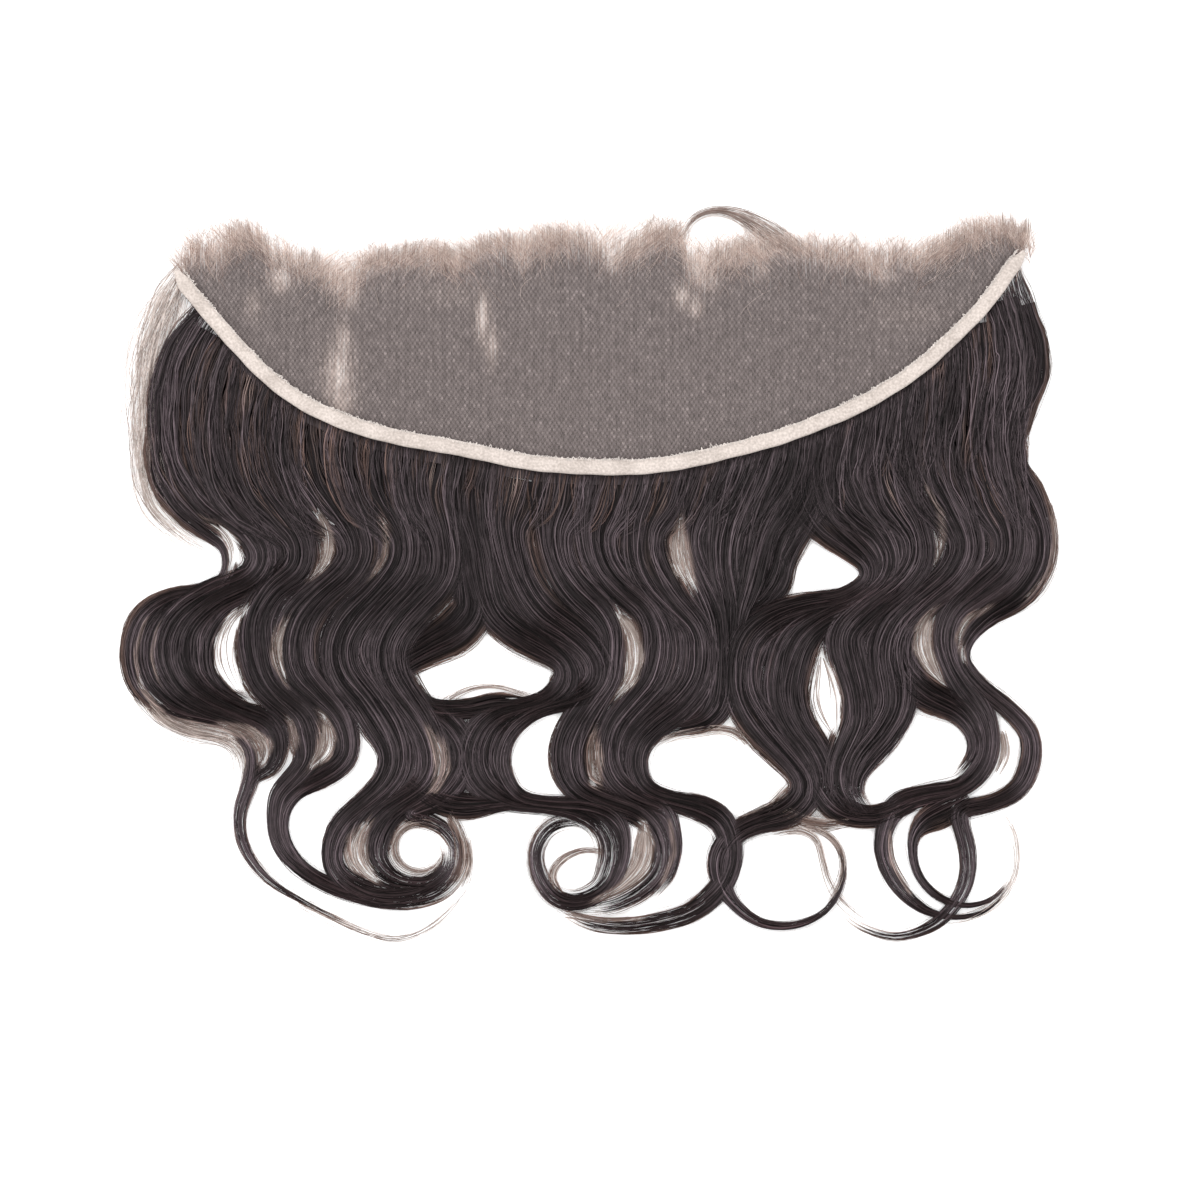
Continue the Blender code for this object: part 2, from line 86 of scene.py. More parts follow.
# Front of the piece, from left to right: x, y of the lace's edge, y of the fringe's tips
FRONT_LINE = (
    (-164, 82, 88), (-157, 88, 96), (-148, 92, 100), (-136, 92, 101), (-122, 87, 96.5), (-108, 82, 90.5),
    (-95, 81, 89.5), (-70, 83, 91), (-50, 84, 91.5), (-38, 88, 96.5), (-28, 91, 100.5), (0, 91, 101),
    (26, 91, 101), (42, 87, 96), (70, 86.5, 96), (100, 84, 95), (120, 84.5, 95), (132, 88, 98),
    (142, 92, 102), (154, 93, 103), (162, 91, 100), (167, 90, 95),
)

# Where the hair under the lace gets dense: x, y
DENSE_LINE = (
    (-164, 80), (-160, 84), (-155, 86), (-150, 85), (-145, 86), (-140, 93), (-135, 94), (-130, 91),
    (-126, 85), (-120, 84), (-110, 82), (-105, 78), (-101, 73), (-97, 75), (-94, 80), (-88, 84),
    (-80, 85.5), (-70, 86.5), (-62, 85.5), (-56, 83), (-50, 86), (-45, 90), (-40, 91), (-34, 90),
    (-29, 87), (-24, 91), (-16, 93), (-8, 92), (0, 88), (5, 84), (10, 88), (18, 91), (24, 93.5),
    (30, 93), (34, 85), (38, 78), (42, 83), (50, 86), (60, 87), (70, 90), (80, 88), (90, 86), (100, 85),
    (107, 82), (115, 86), (123, 84), (130, 89), (140, 93.5), (150, 95), (160, 96), (167, 90),
)

# Locks, from the roots to the tip: x, y, half of the width
LOCKS = {
    "left_1": ((-155, 66, 1.5), (-162.5, 54, 2.5), (-168.5, 43, 3.5), (-170.5, 29, 4.5), (-170, 14, 5.5),
        (-169.5, 2, 6), (-164, -10, 5.5), (-154, -19.5, 4.5), (-145.8, -26, 3), (-143.3, -33, 2.6),
        (-145.2, -40.8, 2.6), (-155, -45.3, 2.7), (-166.5, -48.5, 4), (-176, -56, 5.6),
        (-179.6, -68, 5.8), (-177, -80.3, 5.6), (-169, -89, 4.5), (-160, -93.3, 3.5),
        (-147.5, -96.2, 2.9), (-138.3, -101, 2.9), (-134.2, -109.5, 2.9), (-136, -120, 2.8),
        (-139.5, -130, 2.3), (-139.5, -139, 2), (-136, -148, 1.8), (-129, -156.5, 1.5),
        (-118.5, -163.5, 1.2), (-104, -171, 0.8), (-90, -177.5, 0.5)),
    "left_2": ((-145, 63, 7), (-154.5, 45, 9.5), (-158, 25, 10.5), (-156.5, 8, 10.5), (-149.5, -7.5, 8),
        (-138.5, -18.5, 6.5), (-130.5, -30, 7), (-134.5, -40, 6), (-149, -47, 6.5), (-160.5, -56, 9),
        (-165, -67, 11), (-162, -79, 9.5), (-152, -87.5, 7), (-141, -92.5, 5.5), (-129.5, -98, 6.5),
        (-126.5, -106, 5.5), (-128.5, -113, 4.2), (-134.5, -117, 2.5), (-138, -124, 2)),
    "left_3": ((-128, 56, 10), (-135, 37, 12), (-137, 15, 13), (-133, -3, 12), (-125, -15, 9.5),
        (-117, -26, 8.5), (-117.5, -36, 8), (-127, -44, 6.5), (-133.5, -55, 7), (-134, -67, 7.5),
        (-130.5, -80, 7), (-123, -88, 6), (-116, -94, 6.5), (-113.5, -102, 7.5), (-113, -110, 5),
        (-117.5, -116.5, 4), (-124.5, -124, 3.5), (-126, -134, 2.6), (-124.5, -143, 2.6),
        (-119.5, -150, 2.3), (-110.5, -156.5, 2.2), (-97, -162.5, 1.8), (-84, -165.5, 1.8)),
    "left_4": ((-104, 43, 12), (-111, 22, 14.5), (-111, 5, 14), (-104.5, -10, 11.5), (-97, -20, 9.5),
        (-94, -30, 9), (-98, -38, 8), (-107, -46, 7.5), (-115, -55, 9), (-118, -66, 9.5), (-116, -77, 9),
        (-108, -86, 7), (-101, -94, 5.5), (-98, -103, 4.5), (-99, -110, 4.5), (-106, -116, 4),
        (-116.5, -121.5, 3.2), (-122.5, -128.5, 2.8), (-123.8, -137, 2.6), (-121, -146, 2.6),
        (-114.5, -153.5, 2.6), (-104, -159.5, 2.6), (-90, -163.5, 3), (-76, -165, 3.4),
        (-62.5, -161.5, 3.8), (-55.5, -154, 3.8), (-54.5, -146, 3)),
    "left_5": ((-80, 32, 11), (-86, 12, 12), (-85.5, -4, 11), (-79.5, -16, 9), (-75.5, -27, 8.5),
        (-77.5, -37, 8.5), (-86, -47, 7.5), (-95, -57, 8.5), (-99, -67, 9), (-97, -77, 9), (-90, -86, 8),
        (-84, -95, 8.5), (-79.5, -104, 7.3), (-79, -113, 6.6), (-83.5, -121, 5.5), (-91.5, -128, 4.5),
        (-99.5, -135, 4.5), (-103.5, -143.5, 3.8), (-103, -152, 3.5), (-97, -158.5, 4), (-86, -163, 4),
        (-73, -162.5, 4), (-62, -157, 4), (-57.5, -149, 3.3), (-60, -141, 3)),
    "left_6": ((-61, 26, 10), (-65, 5, 11), (-66, -8, 9.5), (-62, -20, 9), (-60, -31, 8.5),
        (-62, -41, 8), (-70, -50, 8), (-78, -59, 8), (-82, -68, 8.5), (-80.5, -78, 8), (-74.5, -87, 7),
        (-69, -95, 7), (-65, -104, 7), (-64, -113, 7), (-68, -121, 5.5), (-78, -127.5, 5),
        (-84.5, -133, 6.5), (-89, -140.5, 8), (-89, -149, 7), (-83, -155.5, 4.5), (-76, -158.5, 3),
        (-66, -158.5, 2.6), (-59.5, -153, 2.5), (-58.5, -144, 2)),
    "left_7": ((-53, -30, 5), (-51, -42, 6), (-49.5, -52, 8), (-56, -60.5, 8.5), (-67, -66.5, 7),
        (-78, -74, 5.2), (-81, -82, 4.5), (-74, -89, 5), (-62, -95, 6), (-55, -103, 6), (-53.5, -111, 6),
        (-57, -119, 5.5), (-64, -126, 4.5), (-75, -131, 3.5), (-65, -134.5, 2.5), (-58.5, -139, 2.5),
        (-55, -147, 2.5), (-58, -156, 2.2)),
    "left_8": ((-86, -81, 3), (-75, -87, 3), (-63, -91, 3.6), (-51, -90.8, 3.6), (-39, -88.5, 4),
        (-28, -89, 2.5)),
    "left_9": ((-74, -119, 4), (-63, -126, 5), (-52, -128.5, 5), (-42, -127.5, 3.5), (-33, -127, 2.5)),
    "left_10": ((-137, -49, 2.5), (-146, -54.5, 4), (-152, -65, 4.5), (-151.5, -76, 4.5), (-146, -84, 4),
        (-136, -89, 2.5)),
    "centre_1": ((-46, 16, 8), (-49, -2, 8), (-49, -16, 7.5), (-46, -30, 7.5), (-44, -42, 7.5),
        (-40.5, -52.5, 7.3), (-32.7, -60.3, 7), (-22.7, -66.3, 6.2), (-13.5, -73, 4.5), (-12.5, -81, 6),
        (-19, -87.5, 4.5), (-29, -91, 4), (-40, -95, 6), (-46, -103, 8), (-47, -112, 8), (-43, -120, 7),
        (-33, -126.7, 3.5), (-20, -128.3, 2.8), (-8, -130.5, 3.5), (1, -135.5, 4.5), (5, -144, 5),
        (4, -153, 5), (0, -160, 4), (-9.5, -164.2, 3.4), (-18, -161.5, 3)),
    "centre_2": ((-28, 12, 10), (-32, -8, 10), (-35, -20, 9), (-33, -32, 8), (-29, -43, 8),
        (-22, -53, 8), (-12, -60, 7), (-4, -67, 6.5), (0, -75, 6.5), (-3, -83, 6), (-14, -88, 3.5),
        (-25, -91.5, 3), (-34.5, -98.5, 3.5), (-39, -108, 4), (-38, -117, 4), (-31, -125.5, 3),
        (-18, -127.8, 2.6), (-5, -128.5, 3.5), (5.5, -132.5, 3.5), (9.5, -141, 2), (8.5, -151, 2),
        (3, -160.5, 2.2), (-6, -165.5, 2.5), (-15.5, -165, 3), (-22.2, -158, 3), (-25, -148, 2.8),
        (-21.8, -139, 2.8), (-14.5, -134.6, 2.6), (-7, -135.5, 1.8), (-2, -141, 1.2)),
    "centre_3": ((-10, 10, 10), (-13, -10, 10), (-17, -22, 9), (-15, -34, 8), (-9, -44, 8), (0, -53, 7),
        (4.4, -61, 6), (4.6, -70, 4.7), (3.4, -79, 5.4), (-2, -87, 5.5), (-7.5, -95, 6.5),
        (-11.5, -104, 7), (-11.5, -113, 7), (-8, -121, 5.5), (2, -126, 5), (14, -130, 5), (22, -137, 4),
        (24.5, -146, 3.5), (22.5, -155, 3.5), (15, -162, 3.5), (4, -167, 3), (-8, -168, 3)),
    "centre_4": ((10, 10, 10), (5, -10, 10), (0, -22, 9), (2, -34, 8), (9, -43, 7.5), (18, -51, 7),
        (22.5, -60, 8), (22.7, -70, 9), (19.7, -80, 8), (13, -88, 6.5), (6, -97, 6), (3.5, -107, 6),
        (6, -117, 6), (14, -124, 5), (25, -129, 3), (29, -137, 1.8), (30, -146, 1.5), (27, -156, 1.4),
        (20, -163.5, 1.4)),
    "centre_5": ((30, 12, 10), (24, -8, 10), (18.5, -20, 10), (18.3, -32, 10.3), (23, -42, 9.3),
        (30, -51, 7), (37, -59, 6.5), (39, -69, 7.5), (37, -80, 7), (30, -89, 6.5), (21, -96, 6),
        (14, -104, 5.5), (12.5, -113, 5.5), (17, -122, 4.2), (28, -126.3, 3.3), (39, -129, 4.5),
        (47.5, -134, 4.5), (51, -144, 4), (50, -153, 4), (45.5, -161, 4), (35.5, -169.3, 3.6),
        (22, -173.3, 3.3), (8, -175, 2.8), (-6, -173, 2.4), (-16, -167.3, 2)),
    "centre_6": ((49, 18, 10), (44, 0, 10), (38, -13, 7.5), (35.5, -25, 5.5), (38, -36, 5.5),
        (43, -46, 6.5), (46.5, -57, 6), (47, -68, 5.5), (47, -79, 5.5), (45.3, -89, 6.3),
        (39.5, -95.5, 4.4), (28, -98.5, 2.5), (20, -101, 1.5)),
    "centre_7": ((65, 22, 9), (61, 4, 10), (55, -10, 9), (50, -23, 9), (49, -35, 8), (51, -45, 7),
        (52, -54, 5.5), (51, -62, 4)),
    "centre_8": ((76, 24, 7), (73.5, 6, 8), (68, -8, 8.5), (62.5, -20, 8.5), (59.5, -31, 8),
        (57, -42, 7.5), (54, -53, 5), (53, -61, 3.5)),
    "centre_9": ((86, 24, 5), (84, 6, 5.5), (80, -7, 6), (74.5, -17, 6), (69.5, -27, 5.5),
        (67.5, -37, 6), (63, -46, 5.5), (56, -53, 3.5)),
    "centre_10": ((84, 8, 4), (82.5, -6, 4), (80, -16, 4.3), (75.5, -25, 4.6), (71, -34, 4.4),
        (69, -42, 5), (64, -48, 4.5), (57, -53, 3)),
    "right_1": ((88, 28, 7), (84, 8, 7), (83, -7, 7), (87, -18, 7), (95.5, -26, 6.3), (104, -33.5, 4.6),
        (104.5, -41, 3.8), (95, -48, 4), (80, -51, 5), (67, -56, 6.5), (58, -64, 7.5), (55, -75, 7.5),
        (56, -86, 7.5), (62.5, -97, 8), (71, -107, 6.7), (78.5, -116, 5.7), (79.5, -124, 6.3),
        (72, -131, 5.7), (61, -134.3, 4.3), (52, -139, 4), (46.5, -147, 4.3), (46.3, -156, 3.6),
        (51.3, -165.5, 2.2), (60, -172.7, 1.6), (70, -175, 1.3), (81, -173, 1.1), (89.5, -167, 0.9),
        (94.5, -156, 0.7), (93.5, -147, 0.6), (88, -140, 0.5)),
    "right_2": ((101, 36, 9), (97, 12, 10), (94, -2, 8.5), (100, -13, 7.5), (108.5, -22, 6.5),
        (113, -32, 6), (110, -42, 5.5), (99, -50, 5.5), (86, -56, 6), (77, -64, 9), (73, -75, 9.5),
        (72, -86, 9), (76, -97, 7.5), (82.5, -106, 6.5), (86.5, -115, 6), (86, -124, 6),
        (79.5, -132.5, 4.5)),
    "right_3": ((117, 44, 9), (114, 20, 10), (111, 3, 10), (114, -10, 8.5), (121.5, -22, 7.5),
        (123, -33, 7.5), (116, -43, 6.5), (104.5, -52, 7), (95.3, -62, 8), (96.7, -72.5, 8),
        (99.8, -84, 7), (100.5, -95, 7.6), (96.5, -105, 7.3), (93, -114, 6.5), (94, -123, 6.5),
        (101, -131, 5)),
    "right_4": ((133, 58, 9), (131.5, 30, 11), (128.5, 12, 11), (131, -3, 8.5), (138, -16, 7.5),
        (142, -28, 8), (137, -39, 7), (125, -49, 6.5), (115.5, -59, 8.3), (112.5, -69, 9.5),
        (114, -80, 9), (114, -90, 7.8), (108.5, -100, 7.3), (101, -109, 6.8), (97.5, -117, 5),
        (98, -125, 4), (104, -132, 3)),
    "right_5": ((147, 72, 8), (149.5, 45, 11), (147, 25, 11.5), (147.5, 8, 11), (152, -8, 9),
        (158, -22, 8.5), (157, -34, 8), (148, -43, 7), (137.5, -52, 5), (133.5, -62, 4.8), (135, -72, 4),
        (140.5, -82, 5), (148, -92, 4.5), (150.8, -103, 3.9), (148, -113.5, 3.9), (139.5, -121.3, 3.3),
        (126, -124, 3.6), (115, -128, 4), (110.3, -137, 3), (109.5, -147, 2.8), (114.5, -158.3, 2.5),
        (123.5, -167.3, 1.9), (133, -171, 0.9), (144, -171, 0.7), (153, -166.5, 0.5), (159.5, -157, 0.4)),
    "right_6": ((160, 79, 3), (164, 66, 4.3), (167.5, 50, 6), (167, 37, 6.3), (161.5, 24, 6.5),
        (158, 12, 6.5), (159.5, 2, 6.5), (165, -8, 7), (170.5, -22, 6), (170, -35, 5.7),
        (162.3, -46.5, 5.5), (150, -54.7, 4), (142, -63.3, 3.1), (140, -72, 3), (147.2, -82, 3.3),
        (157.6, -90.5, 3.3), (166.2, -100.3, 3.6), (166.6, -111, 3.8), (161.5, -122, 3.4),
        (150, -127.7, 3), (139.5, -129.5, 3.5), (139.5, -135, 3), (142.3, -145, 3), (142.3, -156, 2.8),
        (138, -166, 2.5), (129, -174.5, 2), (115, -179, 1.4), (101, -175.3, 1.2), (92, -168.5, 0.6)),
    "right_7": ((143, -125, 3.5), (133, -131, 5.5), (126, -134.3, 4.4), (121.5, -140, 2),
        (121.3, -149, 1.4), (125, -158, 1.4), (133.5, -165, 1.3), (144, -167, 0.8), (153.5, -163.5, 0.6),
        (159.5, -155, 0.4)),
    "right_8": ((155, 70, 4), (159, 55, 5), (159, 42, 5), (155.5, 28, 5), (153.5, 14, 5), (156, 0, 5)),
    "right_9": ((84, -119, 5), (90, -127.5, 5.5), (98, -132, 4.5), (107, -132.5, 4), (115, -129.5, 3.5),
        (124, -125.5, 3)),
    "right_10": ((124, -47, 4), (117, -56, 5), (115, -66, 6), (118, -76.8, 7), (126.8, -85.2, 6.6),
        (139, -91.3, 5), (145.5, -100.5, 3.5), (145.5, -109, 3.2), (138.5, -117.5, 2.6)),
}

# Loose wisps outside the locks: how many strands, how pale, their rows of x, y, half of the spread
WISPS = (
    (90, 0.8, ((-161, 82, 2), (-169, 68, 5), (-175.5, 50, 6), (-178, 28, 5.5), (-178, 5, 4.5),
        (-174, -12, 4), (-163, -23, 3), (-151, -30, 2))),
    (34, 0.6, ((-161, 76, 1.5), (-165, 66, 4), (-170, 52, 4.5), (-173, 34, 3.5), (-173.5, 14, 3),
        (-170, -6, 3))),
    (14, 0.4, ((-120, -164, 1.5), (-106, -170.5, 2), (-92, -176.5, 2), (-80, -179.5, 1.6),
        (-68, -176, 1.6), (-59, -169, 1.6), (-52, -160, 1.5), (-48, -150, 1))),
    (60, 0.4, ((-178, -84, 2.5), (-170, -94.5, 2.5), (-158, -100, 2.5), (-147, -102, 2.5),
        (-140, -106.5, 3), (-138.5, -114, 2.5), (-140, -122, 1.5))),
    (70, 0.35, ((80, 80, 4), (72, 88, 4), (63, 95, 3.4), (55, 100, 2.2), (47, 102.3, 1.3),
        (40, 101.5, 1), (35, 98, 1), (31.5, 92, 1))),
    (18, 0.4, ((-62, -89, 1.5), (-56, -85, 1), (-48, -82, 0.8), (-39, -82, 0.8), (-30, -84.5, 1),
        (-22, -87, 1.5))),
    (34, 0.3, ((-15, -163, 1.5), (-19, -156, 1.4), (-15.5, -149.5, 1.4), (-8.5, -145.8, 1.2),
        (-1, -145.2, 1.4), (4, -147, 2))),
    (30, 0.25, ((79, -136, 1), (86, -138, 1.2), (92.5, -143.5, 1.2), (94.5, -152, 1.2),
        (92.5, -160, 1.2), (88, -166, 1.4))),
    (22, 0.25, ((66, -139, 1.6), (76, -137.5, 1.2), (84, -141, 1), (86.5, -150, 1), (90, -160, 1.2),
        (98, -169, 1.4), (108, -175, 1.2))),
    (12, 0.4, ((155, -131, 2), (160, -139, 1.5), (161.5, -148, 1), (160, -157, 1), (154, -165, 1.5),
        (144, -171, 1.5), (134, -173, 1))),
    (34, 0.35, ((58, -104, 2), (53, -99.5, 1.6), (46, -98, 1.4), (38, -99, 1.4), (28, -101, 1.5),
        (20, -105, 1.5))),
    (40, 0.25, ((-60, -139, 1.4), (-65, -135.5, 1.4), (-72, -135, 1.4), (-78, -138.5, 1.4),
        (-80, -145, 1.6), (-77.5, -151, 1.4), (-71, -154, 1.2), (-64, -152, 1.2), (-61, -146, 1.2))),
    (24, 0.35, ((74, -120, 2), (70, -124, 1.5), (66, -128, 1.5), (58, -131.5, 1.5), (52, -134, 1.5))),
    (60, 0.0, ((-59, -131, 2), (-54.5, -139, 2.3), (-53, -148, 2.3), (-55, -156, 2.2), (-61, -162, 1.8))),
    (70, 0.0, ((70, -130, 1.5), (78, -134, 2), (87, -135.5, 2), (97, -134.5, 1.5))),
    (60, 0.35, ((157, 83, 1.5), (162, 88, 2), (165, 93, 2.2), (165, 100, 1.8))),
    (26, 0.4, ((-52, -140, 2), (-50, -150, 1.5), (-53, -160, 2))),
)

# Crescents where the hair is thin: strength, then rows along them of x, y, half width
THIN = (
    (1.0, ((-153, -17.5, 0.8), (-147, -20.5, 1.8), (-142.5, -26, 2.3), (-141.5, -33, 2.2),
        (-143.5, -37, 1))),
    (0.85, ((-109.5, -14, 0.7), (-105.8, -20.5, 1.6), (-104.8, -28, 2.2), (-107, -35, 2), (-112, -40, 1))),
    (0.7, ((-84.5, -17, 0.7), (-82.5, -25, 1.2), (-83.5, -32, 1.4), (-88, -39, 0.9))),
    (1.0, ((-136, -51, 0.8), (-142, -56, 2.8), (-145.8, -65, 3.9), (-145.5, -74, 3.9), (-141, -82, 2))),
    (0.75, ((-121, -56, 1), (-125, -63, 2.1), (-125.5, -71, 2.3), (-122, -80, 1))),
    (0.8, ((-178, -82, 0.8), (-168, -95, 1.6), (-155, -98.5, 2.5), (-143, -101, 2.5))),
    (0.75, ((-146, -97, 1.5), (-136, -100, 3), (-130, -105, 3.8), (-131, -111, 2))),
    (0.65, ((-120, -95, 1.2), (-118, -102, 2), (-120, -109, 1.2))),
    (0.8, ((-107, -94, 1.5), (-105.5, -101, 3.6), (-107, -108, 3.4), (-112, -113, 1.2))),
    (0.7, ((-67, -98, 1), (-62, -106, 3.2), (-61, -114, 3.2), (-64, -122, 1.5))),
    (0.8, ((-90, -135, 1.5), (-94, -142, 4.2), (-93.5, -150, 4.2), (-87, -157, 1.5))),
    (0.55, ((-176, -56, 0.6), (-180, -69, 0.9), (-178, -82, 0.6))),
    (0.5, ((-171, -58, 0.5), (-173.5, -70, 0.9), (-171, -80, 0.5))),
    (0.75, ((31, -17, 1.2), (30.5, -27, 4.3), (32, -36, 4.3), (36, -43, 1.5))),
    (0.85, ((7, -54, 1), (12.5, -62, 2.8), (14, -71, 3.5), (12, -80, 2.4), (6, -86, 0.8))),
    (1.0, ((86, -70, 0.8), (87.5, -78, 4), (88.5, -87, 5.4), (90, -95, 3.4), (92, -102, 0.6))),
    (0.9, ((129, -52, 0.8), (125, -59, 2.8), (124.5, -67, 3.5), (128, -75, 2.4), (133, -81, 0.8))),
    (0.75, ((151, -51.5, 0.8), (142.5, -55.5, 1.3), (138.7, -63, 1.5), (141, -72, 1))),
    (0.55, ((126, -5, 0.5), (131.5, -14, 1), (133, -24, 1.3), (130, -34, 0.8))),
    (0.45, ((174, -10, 0.8), (176, -25, 1.2), (174, -38, 1.2), (166, -47, 1))),
    (0.65, ((-3, -99, 1.2), (-2, -109, 3.6), (-2, -119, 2.4))),
    (0.8, ((17, -134, 1), (18, -143, 3.3), (16, -152, 3.3), (8, -160, 1.6), (-2, -165, 1))),
    (0.5, ((27, -134, 0.8), (29, -146, 1.1), (24, -158, 1.1))),
    (0.55, ((-14, -170, 1.2), (0, -172.5, 1), (16, -172, 0.8))),
    (0.5, ((112, -138, 0.8), (113, -150, 1.1), (120, -162, 0.8))),
    (0.6, ((156, -99, 0.8), (157.5, -108, 1.2), (154, -116, 0.8))),
)

# Painted highlights and painted shade on the hair: x, y, reach along x and y, change
PAINTED_HIGHLIGHT_AND_SHADE = (
    (-90, -50, 36, 9, -0.34), (-60, -50, 13, 12, -0.28), (-84, -34, 7, 6, -0.3),
    (74, -10, 11, 20, -0.55), (66, -40, 9, 10, -0.5), (50, -55, 9, 9, -0.6), (49, -75, 3, 12, -0.5),
    (-10, -94, 12, 7, -0.4), (18, -100, 11, 4, -0.4), (22, -14, 10, 7, -0.3), (5, -47, 14, 6, -0.25),
    (-55, 5, 12, 3.5, -0.5), (-150, 2, 8, 6, -0.25), (-122, 12, 4, 12, -0.3), (95, -105, 6, 8, -0.35),
    (150, -118, 6, 5, -0.5), (135, -83, 12, 4, -0.35), (90, -63, 7, 8, -0.25), (-50, -30, 3, 22, -0.3),
    (-45, -88, 30, 3, -0.3), (132, 22, 5, 5, -0.3), (-115, -88, 22, 4, -0.2), (98, -48, 18, 4, 0.3),
    (-66, -116, 12, 12, 0.35), (25, -70, 10, 9, 0.22), (62, -80, 8, 12, 0.2), (-62, 0, 7, 6, 0.3),
    (-105, 16, 4, 5, 0.45), (150, 40, 10, 14, 0.25), (-168, 20, 6, 26, 0.3), (-176, -72, 8, 18, 0.3),
    (-130, -97, 22, 8, 0.3), (-70, -66, 10, 6, 0.2), (172, -28, 6, 24, 0.35), (165, 14, 5, 16, 0.35),
    (-8, -25, 30, 10, 0.12), (40, -40, 6, 8, 0.25), (110, -45, 10, 5, 0.2), (125, -128, 18, 5, 0.35),
    (70, -174, 30, 5, 0.4), (-88, -163, 24, 5, 0.25), (-131, -150, 10, 14, 0.35),
    (166, -100, 8, 20, 0.35), (-20, -158, 12, 12, 0.3),
)

# Places under the lace where the hair is thin: x, y, reach along x and y, strength
PARTINGS = (
    (-101, 38, 5, 11, 0.85), (-99.5, 50, 3, 8, 0.65), (-100, 29, 5, 6, 0.7), (-45.5, 61, 2.4, 9, 0.8),
    (-42, 50, 2.2, 7, 0.6), (32, 69, 3, 4, 0.75), (37, 65, 3, 3.5, 0.6), (-124, 76, 4, 5, 0.8),
    (-134, 66, 3, 5, 0.3), (-101, 80, 5, 7, 1.0), (-97, 70, 3.5, 5, 0.7), (5, 86, 3, 6, 0.85),
    (38, 84, 4, 7, 1.0), (42, 76, 4, 5, 0.6), (-30, 84, 3, 4, 0.5), (62, 80, 3, 4, 0.4),
    (-66, 82, 4, 4, 0.4), (110, 78, 5, 4, 0.4), (-58, 70, 14, 5, 0.12), (120, 62, 16, 6, 0.1),
)

# Locks that bound the whole outline, and the side on which they do
OUTER_SIDE = {"left_1": -1, "right_6": 1}

# Hair tones: strands that run upright get a painted sheen, strands that run level a painted shade
UPRIGHT_SHEEN_TONE = np.array((0.051, 0.0405, 0.0432))
LEVEL_SHADE_TONE = np.array((0.0175, 0.0118, 0.012))
UNDER_NET_TONE = np.array((0.086, 0.069, 0.066))
# Rim, edge, sheer and pale tones: thin hair painted browner and paler, as painted light shining through it
RIM_LIT_THROUGH_TONE = np.array((0.125, 0.078, 0.064))
EDGE_TONE = np.array((0.15, 0.098, 0.082))
SHEER_LIT_THROUGH_TONE = np.array((0.36, 0.27, 0.24))
PALE_LIT_THROUGH_TONE = np.array((0.42, 0.335, 0.30))
WHITE_TONE = np.array((0.60, 0.52, 0.48))
NET_TONE = np.array((0.215, 0.181, 0.175))
NET_PALE_TONE = np.array((0.66, 0.55, 0.50))
STITCH_TONE = np.array((0.62, 0.56, 0.52))

# Map of how much hair lies over each square millimetre: its corner and its rows and columns
MAP_LEFT = -200.0
MAP_LOW = -195.0
MAP_SHAPE = (310, 400)


def smooth(value):
    """Smooth step from 0 to 1, for numbers and arrays."""
    value = np.clip(value, 0.0, 1.0)
    return value * value * (3 - 2 * value)


def column(table, x, index):
    """A table's column at x, straight between its rows."""
    rows = np.array(table, float)
    return np.interp(x, rows[:, 0], rows[:, index])


def through(rows, step=0.5, soften=2.5):
    """Smooth even curve through rows of x, y, half width: arrays with a point about every step."""
    rows = np.array(rows, float)
    ends = np.vstack((2 * rows[0] - rows[1], rows, 2 * rows[-1] - rows[-2]))
    t = np.linspace(0, 1, 16, endpoint=False)[:, None]
    parts = []
    for a, b, c, d in zip(ends, ends[1:], ends[2:], ends[3:]):
        parts.append(0.5 * (2 * b + (c - a) * t + (2 * a - 5 * b + 4 * c - d) * t ** 2
                            + (3 * b - a - 3 * c + d) * t ** 3))
    dense = np.vstack(parts + [rows[-1:]])
    run = np.concatenate(([0], np.cumsum(np.linalg.norm(np.diff(dense[:, :2], axis=0), axis=1))))
    even = np.linspace(0, run[-1], max(8, int(run[-1] / step)))
    line = np.stack([np.interp(even, run, dense[:, k]) for k in range(dense.shape[1])], 1)
    reach = int(3 * soften / step)
    kernel = np.exp(-0.5 * (np.arange(-reach, reach + 1) * step / soften) ** 2)
    kernel /= kernel.sum()
    head = 2 * line[0] - line[1:reach + 1][::-1]
    tail = 2 * line[-1] - line[-reach - 1:-1][::-1]
    padded = np.vstack((head, line, tail))
    return np.stack([np.convolve(padded[:, k], kernel, "valid") for k in range(line.shape[1])], 1)


class Guide:
    """A lock's middle line, read at any share of its length."""

    def __init__(self, rows):
        self.line = through(rows)
        steps = np.linalg.norm(np.diff(self.line[:, :2], axis=0), axis=1)
        self.run = np.concatenate(([0], np.cumsum(steps)))
        self.length = self.run[-1]
        tangent = np.gradient(self.line[:, :2], axis=0)
        tangent /= np.linalg.norm(tangent, axis=1, keepdims=True)
        self.tangent = tangent
        turn = np.abs(np.gradient(np.unwrap(np.arctan2(tangent[:, 1], tangent[:, 0])))) / steps.mean()
        need = 1 / 6.0 + 1.9 * turn
        self.effort = np.concatenate(([0], np.cumsum(0.5 * (need[1:] + need[:-1]) * steps)))

    def at(self, effort):
        """Middle point, tangent and half width where so much effort is spent."""
        pick = lambda values: np.interp(effort, self.effort, values)
        xy = np.stack((pick(self.line[:, 0]), pick(self.line[:, 1])), -1)
        tangent = np.stack((pick(self.tangent[:, 0]), pick(self.tangent[:, 1])), -1)
        tangent /= np.linalg.norm(tangent, axis=-1, keepdims=True)
        return xy, tangent, pick(self.line[:, 2]), pick(self.run)


def lace_underside(x, share):
    """Height of the lace over the floor: share is 0 at its front edge and 1 at its back one."""
    droop = (MAT_HEIGHT - MAT_FRONT_HEIGHT) * smooth((TIP_REACH - np.abs(x)) / TIP_RISE)
    return MAT_HEIGHT - droop * (1 - smooth(share / 0.4)) + FREE_GAP


